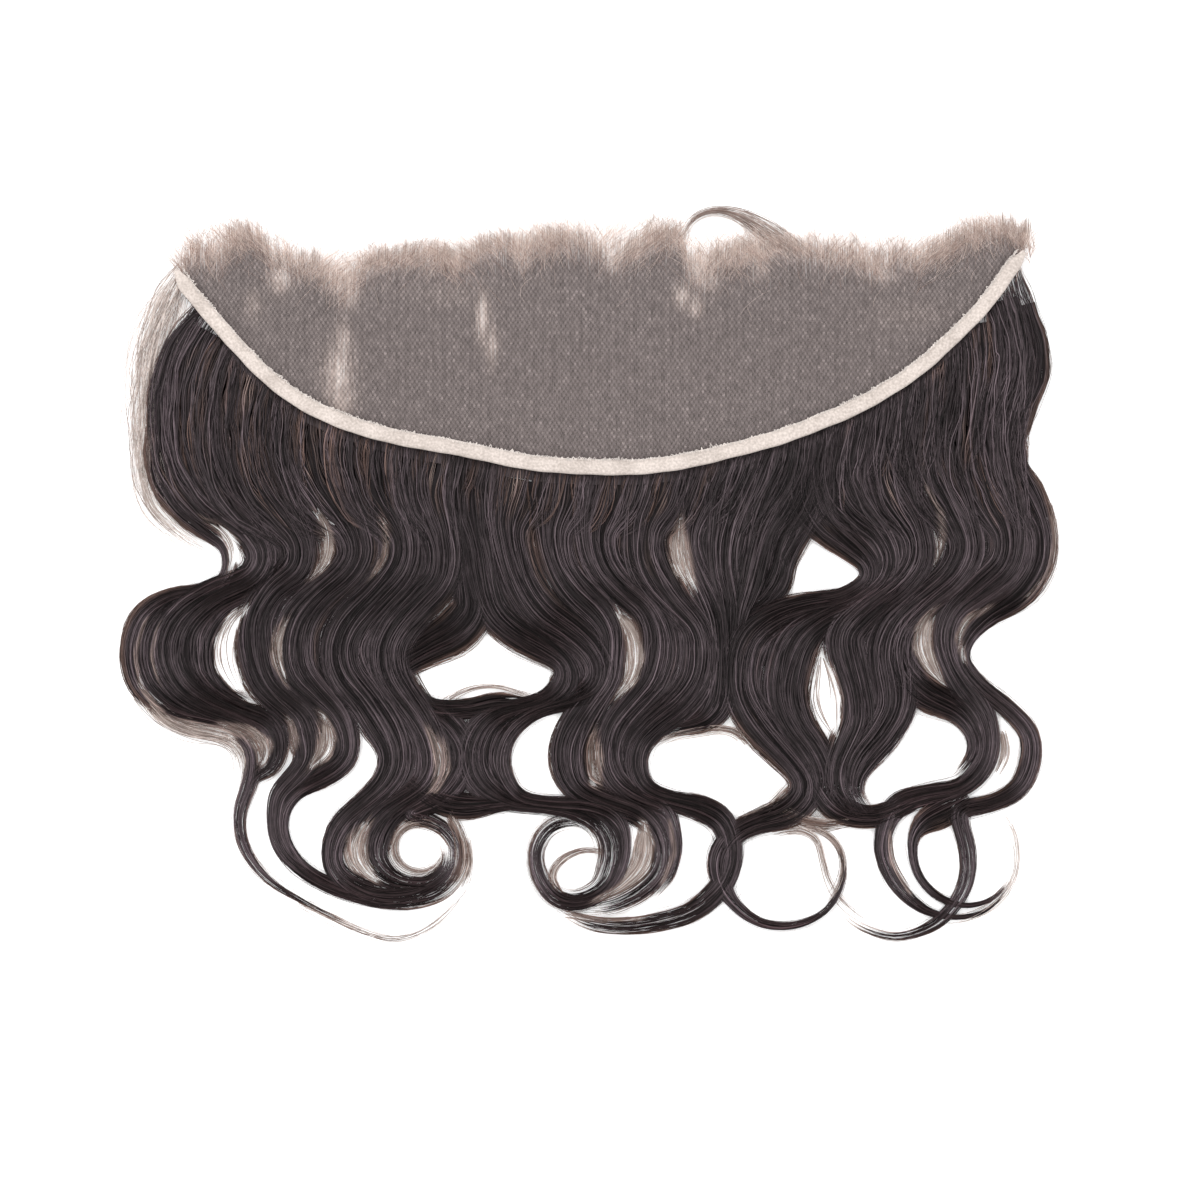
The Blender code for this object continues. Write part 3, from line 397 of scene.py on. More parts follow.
def past_ribbon(x, y):
    """Distance beyond the ribbon's outer edge, less than 0 under the ribbon and the lace."""
    rows = np.array(RIBBON_LINE, float)
    level = np.interp(x, rows[:, 0], rows[:, 1])
    slope = np.interp(x, (rows[1:, 0] + rows[:-1, 0]) / 2, np.diff(rows[:, 1]) / np.diff(rows[:, 0]))
    beside = np.maximum(np.maximum(rows[0, 0] - x, x - rows[-1, 0]), 0)
    return (level - y) / np.sqrt(1 + slope ** 2) - RIBBON_WIDTH / 2 + beside


def thinness(x, y):
    """How thin the hair is at a place, from 0 to 1."""
    most = np.zeros_like(x)
    for strength, rows in THIN:
        for (ax, ay, first), (bx, by, last) in zip(rows, rows[1:]):
            dx, dy = bx - ax, by - ay
            t = np.clip(((x - ax) * dx + (y - ay) * dy) / (dx * dx + dy * dy), 0, 1)
            away = np.hypot(x - ax - dx * t, y - ay - dy * t) / (first + (last - first) * t)
            most = np.maximum(most, strength * smooth((1.4 - away) / 0.8))
    return most


def painted_highlight_and_shade(x, y):
    """Painted highlight and shade at a place, as a change of brightness."""
    total = np.zeros_like(x)
    for px, py, rx, ry, change in PAINTED_HIGHLIGHT_AND_SHADE:
        total += change * np.exp(-((x - px) / rx) ** 2 - ((y - py) / ry) ** 2)
    return total


def across(tangent):
    """The level way to the left of a line."""
    return np.stack((-tangent[..., 1], tangent[..., 0]), -1)


def wander(rng, count, run, waves):
    """Slow sideways drift of count strands: waves are pairs of wave length and size."""
    drift = np.zeros((count, run.shape[-1]))
    for length, size in waves:
        phase = rng.uniform(0, 2 * math.pi, (count, 1))
        stretch = rng.uniform(0.8, 1.3, (count, 1))
        drift += size * np.sin(2 * math.pi * run / (length * stretch) + phase)
    return drift


def paint(mesh, tints):
    """Keeps a colour for each point of a mesh."""
    rgba = np.concatenate((tints, np.ones((len(tints), 1))), 1)
    colour = mesh.color_attributes.new("tint", "FLOAT_COLOR", "POINT")
    colour.data.foreach_set("color", rgba.astype(np.float32).ravel())


def put(name, mesh, material):
    """An object of a mesh, on the hairpiece's one body."""
    mesh.materials.append(material)
    made = bpy.data.objects.new(name, mesh)
    bpy.context.scene.collection.objects.link(made)
    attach(made, "root")
    return made


def make_strands(name, pieces, material):
    """One mesh of many flat strands. Each piece is points, width, roll and tint in arrays."""
    points, uvs, tints, quads = [], [], [], []
    total = sum(piece[0].shape[0] for piece in pieces)
    first, strand = 0, 0
    for place, width, roll, tint in pieces:
        count, length = place.shape[:2]
        ahead = np.gradient(place, axis=1)
        ahead /= np.linalg.norm(ahead, axis=2, keepdims=True) + 1e-9
        side = np.stack((-ahead[..., 1], ahead[..., 0], np.zeros((count, length))), -1)
        side /= np.linalg.norm(side, axis=2, keepdims=True) + 1e-9
        up = np.cross(ahead, side)
        edge = (side * np.cos(roll)[..., None] + up * np.sin(roll)[..., None]) * width[..., None] / 2
        pair = np.stack((place - edge, place + edge), 2)
        pair[..., 2] = np.maximum(pair[..., 2], LEAST_HEIGHT)
        points.append(pair.reshape(-1, 3))
        tints.append(np.repeat(tint, 2, axis=1).reshape(-1, 3))
        cell = (strand + np.arange(count)[:, None, None] + np.array((0.2, 0.8))[None, None, :]) / total
        along = np.broadcast_to(np.linspace(0.01, 0.99, length)[None, :, None], (count, length, 2))
        uvs.append(np.stack((np.broadcast_to(cell, (count, length, 2)), along), -1).reshape(-1, 2))
        start = first + 2 * (np.arange(count)[:, None] * length + np.arange(length - 1)[None, :])
        quads.append(np.stack((start, start + 1, start + 3, start + 2), -1).reshape(-1, 4))
        first += 2 * count * length
        strand += count
    points, uvs = np.concatenate(points), np.concatenate(uvs)
    tints, quads = np.concatenate(tints), np.concatenate(quads)
    mesh = bpy.data.meshes.new(name)
    mesh.vertices.add(len(points))
    mesh.vertices.foreach_set("co", (points * MM).astype(np.float32).ravel())
    mesh.loops.add(quads.size)
    mesh.loops.foreach_set("vertex_index", quads.astype(np.int32).ravel())
    mesh.polygons.add(len(quads))
    mesh.polygons.foreach_set("loop_start", np.arange(0, quads.size, 4, dtype=np.int32))
    mesh.update(calc_edges=True)
    mesh.uv_layers.new(name="OFBake").data.foreach_set("uv", uvs[quads.ravel()].astype(np.float32).ravel())
    paint(mesh, tints)
    mesh.shade_smooth()
    put(name, mesh, material)


def lock_strands(rng, name, guide, count, order, kind):
    """Places and widths of a lock's strands. kind is core, body or loose."""
    half_most = guide.line[:, 2].max()
    each = (count, 1)
    rooted = guide.line[0, 1] > -25
    if kind == "core":
        begin, end = np.full(each, 0.03), np.full(each, 0.98)
        first_u = np.linspace(-0.82, 0.82, count)[:, None]
        layer = np.full(each, 0.35)
    elif kind == "body":
        begin = rng.uniform(-0.35, 0.9, each)
        end = begin + rng.uniform(0.3, 0.6, each)
        end = np.minimum(end, 1 - 0.2 * rng.uniform(0, 1, each) ** 2)
        end = np.maximum(end, LEAST_SHARE + 0.02)
        begin = np.clip(begin, 0, end - LEAST_SHARE)
        first_u = rng.uniform(-1.1, 1.1, each)
        layer = np.sqrt(rng.uniform(0.1, 1.0, each))
    else:
        begin = rng.uniform(0.0, 0.5, each)
        end = np.clip(begin + rng.uniform(0.25, 0.9, each), 0, 1)
        first_u = rng.choice((-1.0, 1.0), each)
        layer = rng.uniform(0.2, 1.0, each)
    samples = int(guide.effort[-1] * (0.5 if kind == "body" else 1)) + 3
    share = begin + (end - begin) * np.linspace(0, 1, samples)[None, :]
    middle, tangent, half, run = guide.at(share * guide.effort[-1])
    near_top = smooth((middle[..., 1] + 26) / 18)
    u = first_u * np.ones_like(share)
    if kind == "body":
        clump = np.round(first_u * half_most / CLUMP + 0.3 * np.sin(run / 31.0)) * CLUMP / half_most
        u += (clump - u) * (0.25 + 0.3 * np.sin(run / 23.0 + 5 * first_u))
    if kind != "core":
        u += wander(rng, count, run, ((110, 0.06), (47, 0.03)))
    grow = 1 + 0.5 * near_top * (u * OUTER_SIDE.get(name, 0) <= 0)
    offset = u * half * grow
    if kind == "loose":
        offset += first_u * (rng.exponential(0.8, each) - 0.5)
        offset += wander(rng, count, run, ((75, 0.55), (31, 0.22)))
    elif kind == "body":
        offset += wander(rng, count, run, ((37, 0.12), (15, 0.05)))
    ripple = np.sin(run / 2.7 + 0.8 * offset + order) + 0.7 * np.sin(run / 4.4 - 0.45 * offset + 2 * order)
    offset += 0.24 * ripple * smooth((middle[..., 1] + 40) / 40)
    xy = middle + across(tangent) * offset[..., None]
    crown = np.minimum(1.9 + 0.3 * half, 5.0) + 0.3 * order
    dome = np.sqrt(np.clip(1 - (0.78 * u) ** 2, 0.1, 1))
    dome += (1 - dome) * near_top
    z = 0.35 + crown * dome * layer
    beyond = past_ribbon(xy[..., 0], xy[..., 1])
    z = np.minimum(z, UNDER_RIBBON + 0.5 * np.maximum(beyond, 0) - 0.4 * (1 - layer))
    z = np.maximum(z, 0.25)
    thin = thinness(xy[..., 0], xy[..., 1])
    tailed = guide.line[-1, 1] < -138
    tail = smooth((share - 0.6) / 0.4) * tailed
    if kind == "core":
        width = 2.4 * half * grow / count * np.clip(1 - 1.7 * thin, 0.01, 1)
        width = width * smooth(((0.84 if tailed else 1.0) - share) / 0.15 + 0.02)
        if not rooted:
            width = width * smooth(run / 12 + 0.02)
        roll = np.zeros_like(share)
    else:
        left = 1.04 * (1 - 0.96 * smooth((thin - 0.45) / 0.5)) ** 2 * (1 - 0.35 * tail)
        kept = np.maximum(smooth((left - rng.uniform(0, 1, each)) / 0.08 + 0.5), 0.02)
        if kind == "body":
            width = 0.15 + 0.27 * rng.uniform(0, 1, each) ** 2
        else:
            width = rng.uniform(0.05, 0.13, each)
        taper = 0.2 + 0.8 * smooth((end - share) / 0.06) * smooth((share - begin + 0.01) / 0.03)
        width = width * kept * taper
        roll = rng.normal(0, 0.5, each) + wander(rng, count, run, ((60, 0.25),))
    return {"place": np.concatenate((xy, z[..., None]), -1), "width": width, "roll": roll,
            "run": run, "upright_sheen": np.abs(tangent[..., 1]), "kind": kind, "u": u, "thin": thin,
            "half": half}


def map_cell(place):
    """The map's cell at each place, counted row by row."""
    column_at = np.clip((place[..., 0] - MAP_LEFT).astype(int), 0, MAP_SHAPE[1] - 1)
    row_at = np.clip((place[..., 1] - MAP_LOW).astype(int), 0, MAP_SHAPE[0] - 1)
    return row_at * MAP_SHAPE[1] + column_at


def cover_map(pieces):
    """Layers of hair over each square millimetre, with its edges softened."""
    total = np.zeros(MAP_SHAPE[0] * MAP_SHAPE[1])
    for piece in pieces:
        start, stop = piece["place"][:, :-1, :2], piece["place"][:, 1:, :2]
        area = np.linalg.norm(stop - start, axis=2) * (piece["width"][:, 1:] + piece["width"][:, :-1]) / 8
        for part in (0.125, 0.375, 0.625, 0.875):
            spot = start + (stop - start) * part
            total += np.bincount(map_cell(spot).ravel(), area.ravel(), total.size)
    total = total.reshape(MAP_SHAPE)
    kernel = np.exp(-0.5 * (np.arange(-3, 4) / 1.0) ** 2)
    kernel /= kernel.sum()
    for axis in (0, 1):
        total = np.apply_along_axis(np.convolve, axis, total, kernel, "same")
    return total


def lock_tone(rng, piece, cover):
    """Colours of a lock's strands: painted shade where they run level and painted sheen where upright;
    browner at the lock's edge and paler where thin, as painted light shining through.
    """
    count = piece["place"].shape[0]
    # Painted sheen where a strand runs upright, painted shade where it runs level
    upright_sheen = smooth((piece["upright_sheen"] - 0.45) / 0.5)[..., None]
    tone = LEVEL_SHADE_TONE + (UPRIGHT_SHEEN_TONE - LEVEL_SHADE_TONE) * upright_sheen
    # The core lies lowest and is darkened as painted shade
    if piece["kind"] == "core":
        return tone * 0.4
    # Random tone of each strand, with painted highlight streaks along it, light and dark bands across the
    # lock, and the listed painted highlights and shade
    shade = rng.normal(-0.1, 0.6, (count, 1)) + wander(rng, count, piece["run"], ((80, 0.25), (33, 0.2)))
    shade += 0.25 * np.sin(8.5 * piece["u"] + piece["run"] / 21.0 + rng.uniform(0, 6))
    shade = np.minimum(shade, 0.9) + painted_highlight_and_shade(piece["place"][..., 0], piece["place"][..., 1])
    shade += 0.3 * smooth((5 - piece["half"]) / 2.5)
    tone = tone * np.exp(shade)[..., None] * np.exp(np.array((0.02, -0.02, 0.02)) * shade[..., None])
    # Painted light shining through the thin crescents: strands there turn pale
    lit_through = 0.9 * smooth((piece["thin"] - 0.1) / 0.6) * rng.uniform(0.25, 1, (count, 1))
    tone += (SHEER_LIT_THROUGH_TONE * np.exp(0.4 * shade)[..., None] - tone) * lit_through[..., None]
    layers = cover.ravel()[map_cell(piece["place"])]
    # Painted light shining through the lock's edge where the hair is few layers deep
    lit_rim = 0.8 * smooth((np.abs(piece["u"]) - 0.62) / 0.38) * (1 - smooth((layers - 1.3) / 1.2))
    tone += (RIM_LIT_THROUGH_TONE * np.exp(0.6 * shade)[..., None] - tone) * lit_rim[..., None]
    # Painted light shining through thin hair: browner where the layers are few, paler where fewer still
    warm = 1 - smooth((layers - 0.3) / 0.9)
    pale = 0.85 * (1 - smooth((layers - 0.15) / 0.7))
    if piece["kind"] == "loose":
        warm = np.maximum(warm, 0.25 * (1 - smooth((layers - 1.0) / 1.2)))
    edge = EDGE_TONE + (PALE_LIT_THROUGH_TONE - EDGE_TONE) * pale[..., None]
    edge = edge * np.exp(0.45 * shade)[..., None]
    return tone + (edge - tone) * warm[..., None]


def make_locks(material):
    """The locks in their three groups, each with a core darkened as painted shade under it, its body and
    its loose strands.
    """
    rng = np.random.default_rng(11)
    made = {}
    for order, (name, rows) in enumerate(LOCKS.items()):
        guide = Guide(rows)
        wide = guide.line[:, 2].mean()
        counts = {"core": max(4, int(1.3 * wide)), "body": int(26 + 63 * wide),
                  "loose": int(14 + 2.2 * wide)}
        for kind, count in counts.items():
            made[name, kind] = lock_strands(rng, name, guide, count, order % 3, kind)
    cover = cover_map([piece for piece in made.values() if piece["kind"] != "core"])
    groups = {}
    for (name, kind), piece in made.items():
        side, number = name.split("_")
        part = ("first" if int(number) <= 4 else "second") if kind == "body" else kind
        tone = lock_tone(rng, piece, cover)
        groups.setdefault(f"hair_{side}_{part}", []).append(
            (piece["place"], piece["width"], piece["roll"], tone))
    for name, pieces in groups.items():
        make_strands(name, pieces, material)


def make_wisps(material):
    """Thin strands that lie outside the locks, and pale ones low in the crescents."""
    rng = np.random.default_rng(5)
    pieces = []
    fillers = [(int((17 if strength < 1 else 2) * max(row[2] for row in rows)), None, rows)
               for strength, rows in THIN]
    for count, pale, rows in WISPS + tuple(fillers):
        guide = Guide(rows)
        samples = int(guide.effort[-1]) + 4
        each = (count, 1)
        begin = rng.uniform(0, 0.12, each)
        end = 1 - 0.5 * rng.uniform(0, 1, each) ** 2
        share = begin + (end - begin) * np.linspace(0, 1, samples)[None, :]
        middle, tangent, half, run = guide.at(share * guide.effort[-1])
        if pale is None:
            u = rng.uniform(-1.3, 1.3, each) + wander(rng, count, run, ((40, 0.12),))
            width, low = rng.uniform(0.15, 0.4, each), 0.35
            light = rng.uniform(0.1, 0.75, (count, 1, 1))
        else:
            u = rng.normal(0, 0.6, each) + wander(rng, count, run, ((70, 0.25), (29, 0.12)))
            width, low = rng.uniform(0.08, 0.3, each), 0.6
            light = np.clip(rng.normal(pale, 0.35, (count, 1, 1)), 0, 1)
        xy = middle + across(tangent) * (u * half)[..., None]
        z = np.minimum(low + rng.uniform(0, 2.2 if low > 0.5 else 0.6, each),
                       UNDER_RIBBON + 0.5 * np.maximum(past_ribbon(xy[..., 0], xy[..., 1]), 0))
        width = width * (0.4 + 0.6 * smooth((end - share) / 0.2))
        tone = (EDGE_TONE + (WHITE_TONE - EDGE_TONE) * light) * np.ones((1, samples, 1))
        roll = rng.normal(0, 0.5 if low > 0.5 else 0.2, each) * np.ones_like(u)
        pieces.append((np.concatenate((xy, z[..., None]), -1), width, roll, tone))
    make_strands("hair_wisps", pieces, material)


def parted(x, y):
    """How open the hair under the lace is at a place, from 0 to 1."""
    most = np.zeros_like(x)
    for px, py, rx, ry, strength in PARTINGS:
        ragged = 1 + 0.25 * np.sin(3.1 * x + 0.4 * y)
        most = np.maximum(most, strength * np.exp(-((x - px) / (rx * ragged)) ** 2 - ((y - py) / ry) ** 2))
    return most


def make_mat(material):
    """The hair under the lace, combed from the hairline to the ribbon."""
    rng = np.random.default_rng(71)
    pieces = []
    for count, wide, level, fine in MAT_STRANDS:
        each = (count, 1)
        x = np.linspace(-160, 163, count)[:, None] + rng.uniform(-0.15, 0.15, each)
        front = column(FRONT_LINE, x, 1)
        back = column(RIBBON_LINE, x, 1)
        dense = column(DENSE_LINE, x, 1) + 1.6 * np.sin(x * 1.3 + 2 * np.sin(x / 3.1)) + np.sin(x * 2.7 + 1)
        start = dense + (rng.normal(0, 4.0, each) if fine else rng.uniform(-12, -4, each))
        start = np.clip(start, back + 3, np.maximum(front, dense) + 4)
        t = np.linspace(0, 1, MAT_SAMPLES)[None, :]
        y = start + (back - 7 + 3.5 * smooth((np.abs(x) - 138) / 15) - start) * t
        depth = np.clip((front - y) / (front - back), 0, 1)
        lean = (0.5 * np.sin(x / 17 + 0.6) + 0.35 * np.sin(x / 6.3)) * smooth(1 - (start - y) / 12)
        x_at = x + 0.7 * np.sin((front - y) / 11 + x / 17) + 2 * lean * smooth(1 - (start - y) / 12)
        if fine:
            x_at += wander(rng, count, (front - y), ((70, 0.25), (31, 0.15)))
        gap = parted(x_at, y)
        z = (lace_underside(x_at, depth) - FREE_GAP) * level
        z = np.minimum(z, UNDER_RIBBON + 0.3 * np.maximum(np.abs(y - back) - 4, 0))
        if fine:
            kept = smooth(((1 - gap) ** 1.2 * 1.08 - rng.uniform(0, 1, each)) / 0.15 + 0.5)
            width = wide * np.maximum(kept, 0.03) * (0.25 + 0.75 * smooth(t / 0.12))
            roll = rng.normal(0, 0.15, each) * np.ones_like(y)
        else:
            width = wide * np.clip(1.1 - 2.4 * gap, 0.02, 1) * (0.2 + 0.8 * smooth(t / 0.1))
            roll = np.zeros_like(y)
        under = smooth((y - back) / 3)[..., None]
        grain = rng.normal(0, 0.3, each) + wander(rng, count, y, ((60, 0.12), (23, 0.1)))
        shade = np.exp(grain[..., None] * (1 - 0.7 * under))
        # The mat's strands run upright and start from the painted sheen tone
        tone = (UPRIGHT_SHEEN_TONE + (UNDER_NET_TONE - UPRIGHT_SHEEN_TONE) * under) * shade
        warm = np.clip(0.9 * gap + 0.85 * smooth((y - dense + 13) / 18), 0, 0.95)[..., None]
        tone = tone * (1 - warm) + EDGE_TONE * 1.7 * shade * warm
        pieces.append((np.stack((x_at, y, z), -1), width, roll, tone))
    make_strands("hair_mat", pieces, material)


def make_fringe(material):
    """The short fine hairs of the front hairline, over the lace and beyond it, with a pale haze below."""
    rng = np.random.default_rng(97)
    pieces = []
    for count, thin, haze in FRINGE_STRANDS:
        each = (count, 1)
        x = rng.uniform(-164, 168, each)
        edge = column(FRONT_LINE, x, 1)
        tip = column(FRONT_LINE, x, 2) + (-1 if haze else 5)
        dense = column(DENSE_LINE, x, 1)
        tuft = np.sin(x / 1.9 + 1.7 * np.sin(x / 7.7)) * np.sin(x / 5.3 + 2) + 0.5 * np.sin(x / 13.1 + 1)
        root = dense + (tip - dense) * rng.uniform(0, 0.75, each) - 5 + 1.8 * tuft
        root -= rng.exponential(2.5, each)
        reach = (tip - root) * rng.uniform(0.2, 1.05, each)
        reach = np.minimum(reach, rng.uniform(3, 12, each))
        lean = 0.5 * np.sin(x / 17 + 0.6) + 0.35 * np.sin(x / 6.3) + rng.normal(0, 0.45, each)
        t = np.linspace(0, 1, FRINGE_SAMPLES)[None, :]
        curl = rng.normal(0, 0.45, each)
        x_at = x + reach * (lean * t + curl * t ** 2)
        y = root + reach * t
        inside = np.clip((edge - y) / 60, 0, 1)
        lift = -0.35 * np.ones_like(t) if haze else 0.8 + 0.9 * t * rng.uniform(0, 1, each)
        z = lace_underside(x_at, inside) + lift
        width = rng.uniform(0.4, 1, each) * thin * (1 - 0.8 * t) * (0.25 + 0.75 * smooth(t / 0.35))
        dark = rng.uniform(0, 1, each) < 0.3 + 0.15 * tuft
        light = rng.normal(0.74, 0.25, each) - 0.55 * dark - 0.3 * (1 - smooth((y - dense + 8) / 14))
        light = np.clip(light + (0.25 if haze else 0), 0, 1)[..., None]
        tone = EDGE_TONE * 1.6 + (WHITE_TONE * (1.2, 1.14, 1.1) - EDGE_TONE * 1.6) * light
        roll = rng.normal(0, 0.1 if haze else 0.4, each) * np.ones_like(y)
        pieces.append((np.stack((x_at, y, z), -1), width, roll, tone))
    make_strands("hair_fringe", pieces, material)


def make_net(material):
    """The net: narrow threads side by side that swell and shrink by turns, and so leave rows of dots."""
    rng = np.random.default_rng(3)
    left, right = RIBBON_LINE[0][0] + 2, RIBBON_LINE[-1][0] - 2
    points, tints, quads = [], [], []
    first, area = 0, 0.0
    for index, x in enumerate(np.arange(left, right, NET_PITCH)):
        back = float(column(RIBBON_LINE, x, 1)) - 0.8
        dense = float(column(DENSE_LINE, x, 1))
        front = max(float(column(FRONT_LINE, x, 1)), dense + 3.5)
        last = math.floor(front / NET_ROW) + 1 + rng.integers(-1, 2)
        rows = np.arange(math.ceil(back / NET_ROW), last)
        if len(rows) < 3:
            continue
        knot = np.where((rows + index) % 2 == 0, 1.0, -1.0)
        y = rows * NET_ROW
        share = np.clip((front - y) / max(front - back, 1), 0, 1)
        z = lace_underside(np.full(len(y), x), share) + 0.45 + 0.12 * np.sin(x / 9 + y / 13)
        z += 0.06 * (index % 2)
        middle = x + rng.normal(0, 0.03, len(y)) + 0.25 * np.sin(y / 17 + x / 40)
        half = (NET_THREAD + NET_SWELL * knot) / 2 * (0.35 + 0.65 * smooth((front - y + 0.5) / 9))
        open_here = np.maximum(parted(np.full(len(y), x), y), smooth((y - dense + 9) / 15))[:, None]
        tone = NET_TONE + (NET_PALE_TONE - NET_TONE) * open_here
        tone = tone * np.exp((0.44 - 0.2 * open_here) * knot[:, None] + 0.09 * (index % 4 < 2) - 0.1)
        tone = tone * np.exp(rng.normal(0, 0.12, (len(y), 1)))
        pair = np.stack((np.stack((middle - half, y, z), -1), np.stack((middle + half, y, z), -1)), 1)
        points.append(pair.reshape(-1, 3))
        tints.append(np.repeat(tone, 2, axis=0))
        start = first + 2 * np.arange(len(y) - 1)
        quads.append(np.stack((start, start + 1, start + 3, start + 2), -1))
        first += 2 * len(y)
        area += NET_PITCH * (front - back)
    mesh = bpy.data.meshes.new("lace_net")
    mesh.from_pydata((np.concatenate(points) * MM).tolist(), [], np.concatenate(quads).tolist())
    paint(mesh, np.concatenate(tints))
    net = put("lace_net", mesh, material)
    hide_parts("lace_base")


def along_ribbon(step, trim):
    """Points on the ribbon's middle line, with the ways along and across it, less trim at each end."""
    line = through([(x, y, 0) for x, y in RIBBON_LINE], step=step, soften=1.5)[:, :2]
    line = line[trim:len(line) - trim]
    tangent = np.gradient(line, axis=0)
    tangent /= np.linalg.norm(tangent, axis=1, keepdims=True)
    return line, tangent, across(tangent)


def make_ribbon(material):
    """The ribbon, a thin tape folded round the lace's back edge."""
    line, _, side = along_ribbon(1.0, 0)
    half = RIBBON_WIDTH / 2
    profile = [(half, 3.5), (half - 1.5, 3.45), (-half + 1.2, 3.45), (-half + 0.4, 3.7),
               (-half, 4.4), (-half, 5.5), (-half + 0.35, 6.2), (-half + 1.0, 6.45), (0, 6.5),
               (half - 0.8, 6.45), (half, 6.3), (half + 0.05, 5.95), (half - 0.8, 5.95), (0, 6.0),
               (-half + 1.1, 5.9), (-half + 0.6, 5.5), (-half + 0.6, 4.5), (-half + 1.1, 4.0),
               (0, 3.95), (half, 3.95)]
    ring = len(profile)
    run = np.arange(len(line))
    ripple = 0.12 * np.sin(run / 5.3) + 0.08 * np.sin(run / 2.1 + 1) + 0.2 * np.sin(run / 17.0)
    narrow = 0.4 + 0.6 * smooth(np.minimum(run, run[::-1]) / 7.0)
    points = []
    for index, (place, way) in enumerate(zip(line, side)):
        for lateral, level in profile:
            lateral = lateral * narrow[index]
            shift = ripple[index] * (0.6 if lateral > 0 else 1.0)
            xy = place + way * (lateral + shift)
            points.append((xy[0] * MM, xy[1] * MM, (level + 0.06 * math.sin(index / 3.3)) * MM))
    faces = []
    for row in range(len(line) - 1):
        for k in range(ring):
            after = (k + 1) % ring
            here, there = row * ring, (row + 1) * ring
            faces.append((here + k, here + after, there + after, there + k))
    faces.append(tuple(range(ring)))
    faces.append(tuple(len(points) - 1 - k for k in range(ring)))
    mesh = bpy.data.meshes.new("ribbon_tape")
    mesh.from_pydata(points, [], faces)
    mesh.shade_smooth()
    tape = put("ribbon_tape", mesh, material)
    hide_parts("ribbon_binding")


def make_stitches(material):
    """Uneven white stitches along the ribbon's edge on the lace."""
    rng = np.random.default_rng(29)
    line, tangent, side = along_ribbon(0.7, 2)
    count, samples = len(line), 5
    each = (count, 1)
    t = np.linspace(0, 1, samples)[None, :]
    edge = RIBBON_WIDTH / 2 + 0.2 * np.sin(np.arange(count) / 3.1)[:, None]
    inner = edge - rng.uniform(0.3, 0.9, each)
    outer = edge + 0.1 + rng.exponential(0.22, each)
    lateral = inner + (outer - inner) * np.sin(t * math.pi)
    along = (t - 0.5) * rng.uniform(0.5, 1.4, each) + rng.uniform(-0.3, 0.3, each)
    xy = line[:, None] + side[:, None] * lateral[..., None] + tangent[:, None] * along[..., None]
    z = 6.72 - 0.42 * np.sin(t * math.pi) * np.ones(each)
    width = rng.uniform(0.16, 0.34, each) * np.ones_like(t)
    tone = STITCH_TONE * rng.uniform(0.75, 1.1, (count, 1, 1)) * np.ones((1, samples, 1))
    roll = np.zeros((count, samples))
    loops = (np.concatenate((xy, z[..., None]), -1), width, roll, tone)
    make_strands("ribbon_stitches", [loops], material)


def new_material(name):
    """A Principled material and its node tree."""
    material = bpy.data.materials.new(name)
    material.use_nodes = True
    tree = material.node_tree
    return material, tree, tree.nodes["Principled BSDF"]


def preset(node, values):
    """Sets a node's inputs by their names or numbers."""
    for name, value in values.items():
        node.inputs[name].default_value = value


def noise_in(tree, scale):
    """Noise fixed to the object, as a socket."""
    place = tree.nodes.new("ShaderNodeTexCoord")
    noise = tree.nodes.new("ShaderNodeTexNoise")
    preset(noise, {"Scale": scale, "Detail": 3})
    tree.links.new(place.outputs["Object"], noise.inputs["Vector"])
    return noise.outputs["Fac"]


def fibre_material(name, least, most, roughness, gloss):
    """Fibre whose colour comes from the strands' tint, broken by fine noise."""
    material, tree, shader = new_material(name)
    tint = tree.nodes.new("ShaderNodeVertexColor")
    tint.layer_name = "tint"
    spread = tree.nodes.new("ShaderNodeMapRange")
    preset(spread, {"To Min": least, "To Max": most})
    tree.links.new(noise_in(tree, 260), spread.inputs["Value"])
    mix = tree.nodes.new("ShaderNodeVectorMath")
    mix.operation = "MULTIPLY"
    tree.links.new(tint.outputs["Color"], mix.inputs[0])
    tree.links.new(spread.outputs["Result"], mix.inputs[1])
    tree.links.new(mix.outputs["Vector"], shader.inputs["Base Color"])
    preset(shader, {"Roughness": roughness, "Specular IOR Level": gloss})
    return material


def net_material():
    """Sheer nylon thread."""
    material = fibre_material("lace_net_look", 0.75, 1.25, 0.8, 0.2)
    preset(material.node_tree.nodes["Principled BSDF"], {"Alpha": NET_ALPHA})
    return material


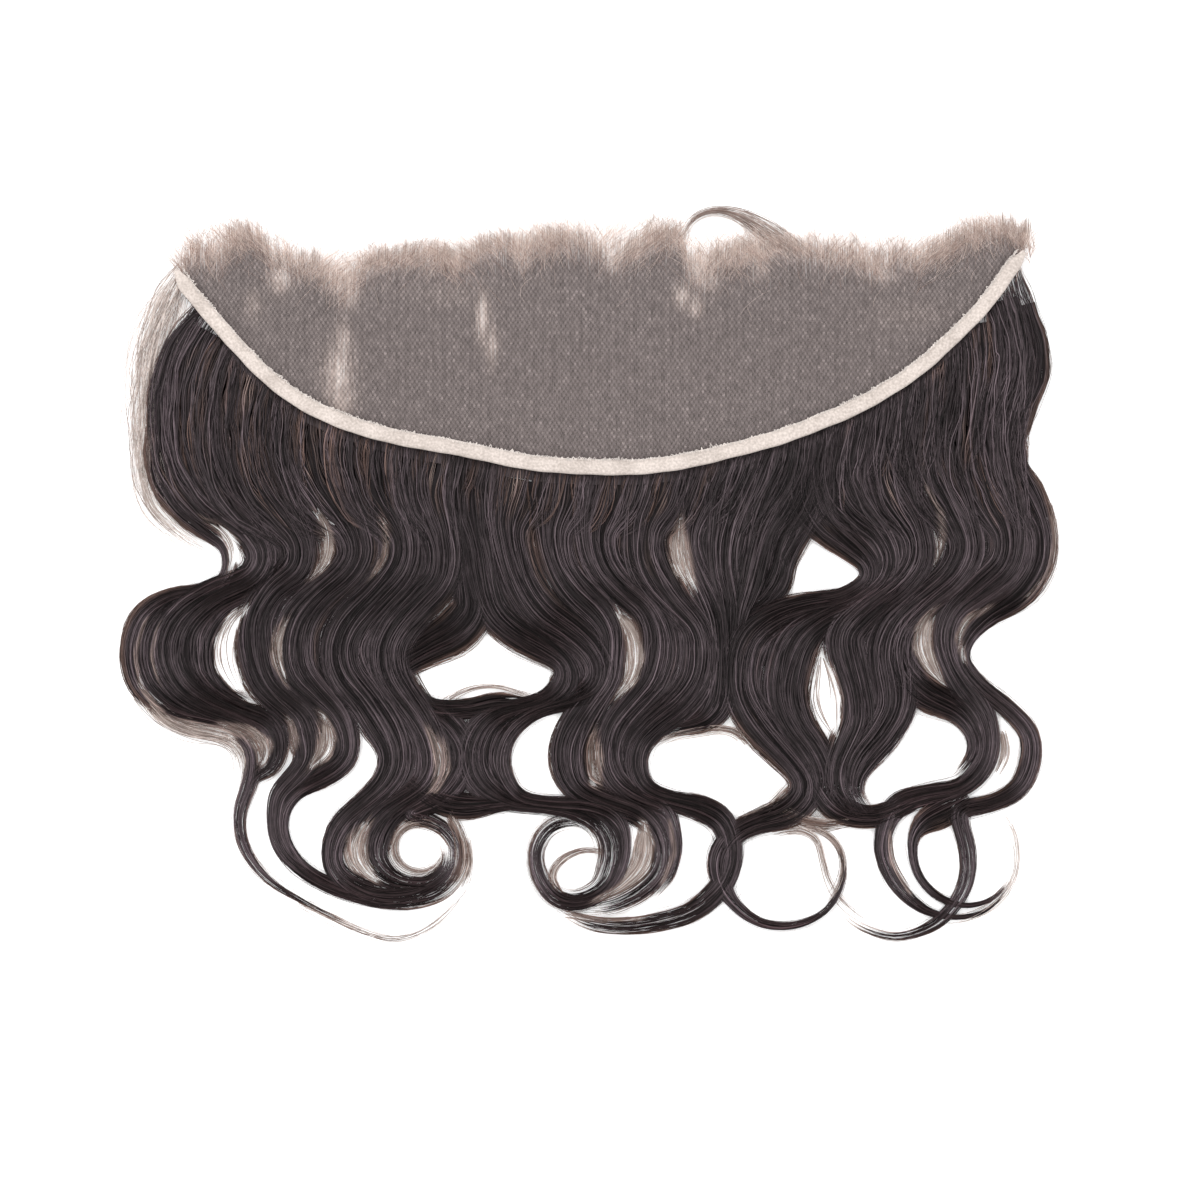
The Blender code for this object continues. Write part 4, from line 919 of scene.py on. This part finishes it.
def ribbon_material():
    """Pale woven tape, mottled by coarse and fine noise."""
    material, tree, shader = new_material("ribbon_look")
    total = None
    for scale, share in ((120, 0.35), (1100, 0.65)):
        part = tree.nodes.new("ShaderNodeMath")
        part.operation = "MULTIPLY_ADD"
        preset(part, {1: share, 2: 0.0})
        tree.links.new(noise_in(tree, scale), part.inputs[0])
        if total is not None:
            tree.links.new(total, part.inputs[2])
        total = part.outputs[0]
    ramp = tree.nodes.new("ShaderNodeValToRGB")
    ends = ((0.35, (0.41, 0.355, 0.32, 1)), (0.65, (0.66, 0.585, 0.54, 1)))
    for element, (position, colour) in zip(ramp.color_ramp.elements, ends):
        element.position = position
        element.color = colour
    tree.links.new(total, ramp.inputs["Fac"])
    tree.links.new(ramp.outputs["Color"], shader.inputs["Base Color"])
    preset(shader, {"Roughness": 0.85, "Specular IOR Level": 0.2})
    return material


def make_stage():
    """White floor, soft dome light and a large soft key."""
    mesh = bpy.data.meshes.new("floor")
    reach = FLOOR_REACH * MM
    mesh.from_pydata([(-reach, -reach, 0), (reach, -reach, 0), (reach, reach, 0), (-reach, reach, 0)],
                     [], [(0, 1, 2, 3)])
    floor = bpy.data.objects.new("floor", mesh)
    bpy.context.scene.collection.objects.link(floor)
    material, _, shader = new_material("floor_look")
    preset(shader, {"Base Color": (0.93, 0.93, 0.93, 1), "Roughness": 0.9,
                    "Emission Color": (1, 1, 1, 1), "Emission Strength": 0.25})
    mesh.materials.append(material)
    world = bpy.data.worlds.new("studio")
    bpy.context.scene.world = world
    world.use_nodes = True
    preset(world.node_tree.nodes["Background"], {"Color": (1, 1, 1, 1), "Strength": 1.25})
    light = bpy.data.lights.new("key", "AREA")
    light.size = 1.2
    light.energy = 14
    key = bpy.data.objects.new("key", light)
    key.location = (-0.5, 0.9, 1.5)
    key.rotation_euler = (math.radians(-34), math.radians(-17), 0)
    bpy.context.scene.collection.objects.link(key)


def make_camera():
    """Camera straight above, framed as the photograph is."""
    camera = bpy.data.cameras.new("camera")
    camera.lens = LENS_MM
    camera.sensor_width = SENSOR_MM
    view = bpy.data.objects.new("camera", camera)
    height = PHOTO_WIDTH_MM * LENS_MM / SENSOR_MM
    view.location = (PHOTO_CENTRE[0] * MM, PHOTO_CENTRE[1] * MM, height * MM)
    bpy.context.scene.collection.objects.link(view)
    bpy.context.scene.camera = view
    bpy.context.scene.view_settings.view_transform = "Standard"


make_camera()
make_stage()
hair_look = fibre_material("hair_fibre_look", 0.6, 1.4, 0.45, 0.07)
make_mat(hair_look)
make_locks(hair_look)
make_wisps(hair_look)
make_fringe(hair_look)
make_net(net_material())
make_ribbon(ribbon_material())
make_stitches(fibre_material("ribbon_thread_look", 0.9, 1.1, 0.8, 0.2))
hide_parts("hair")
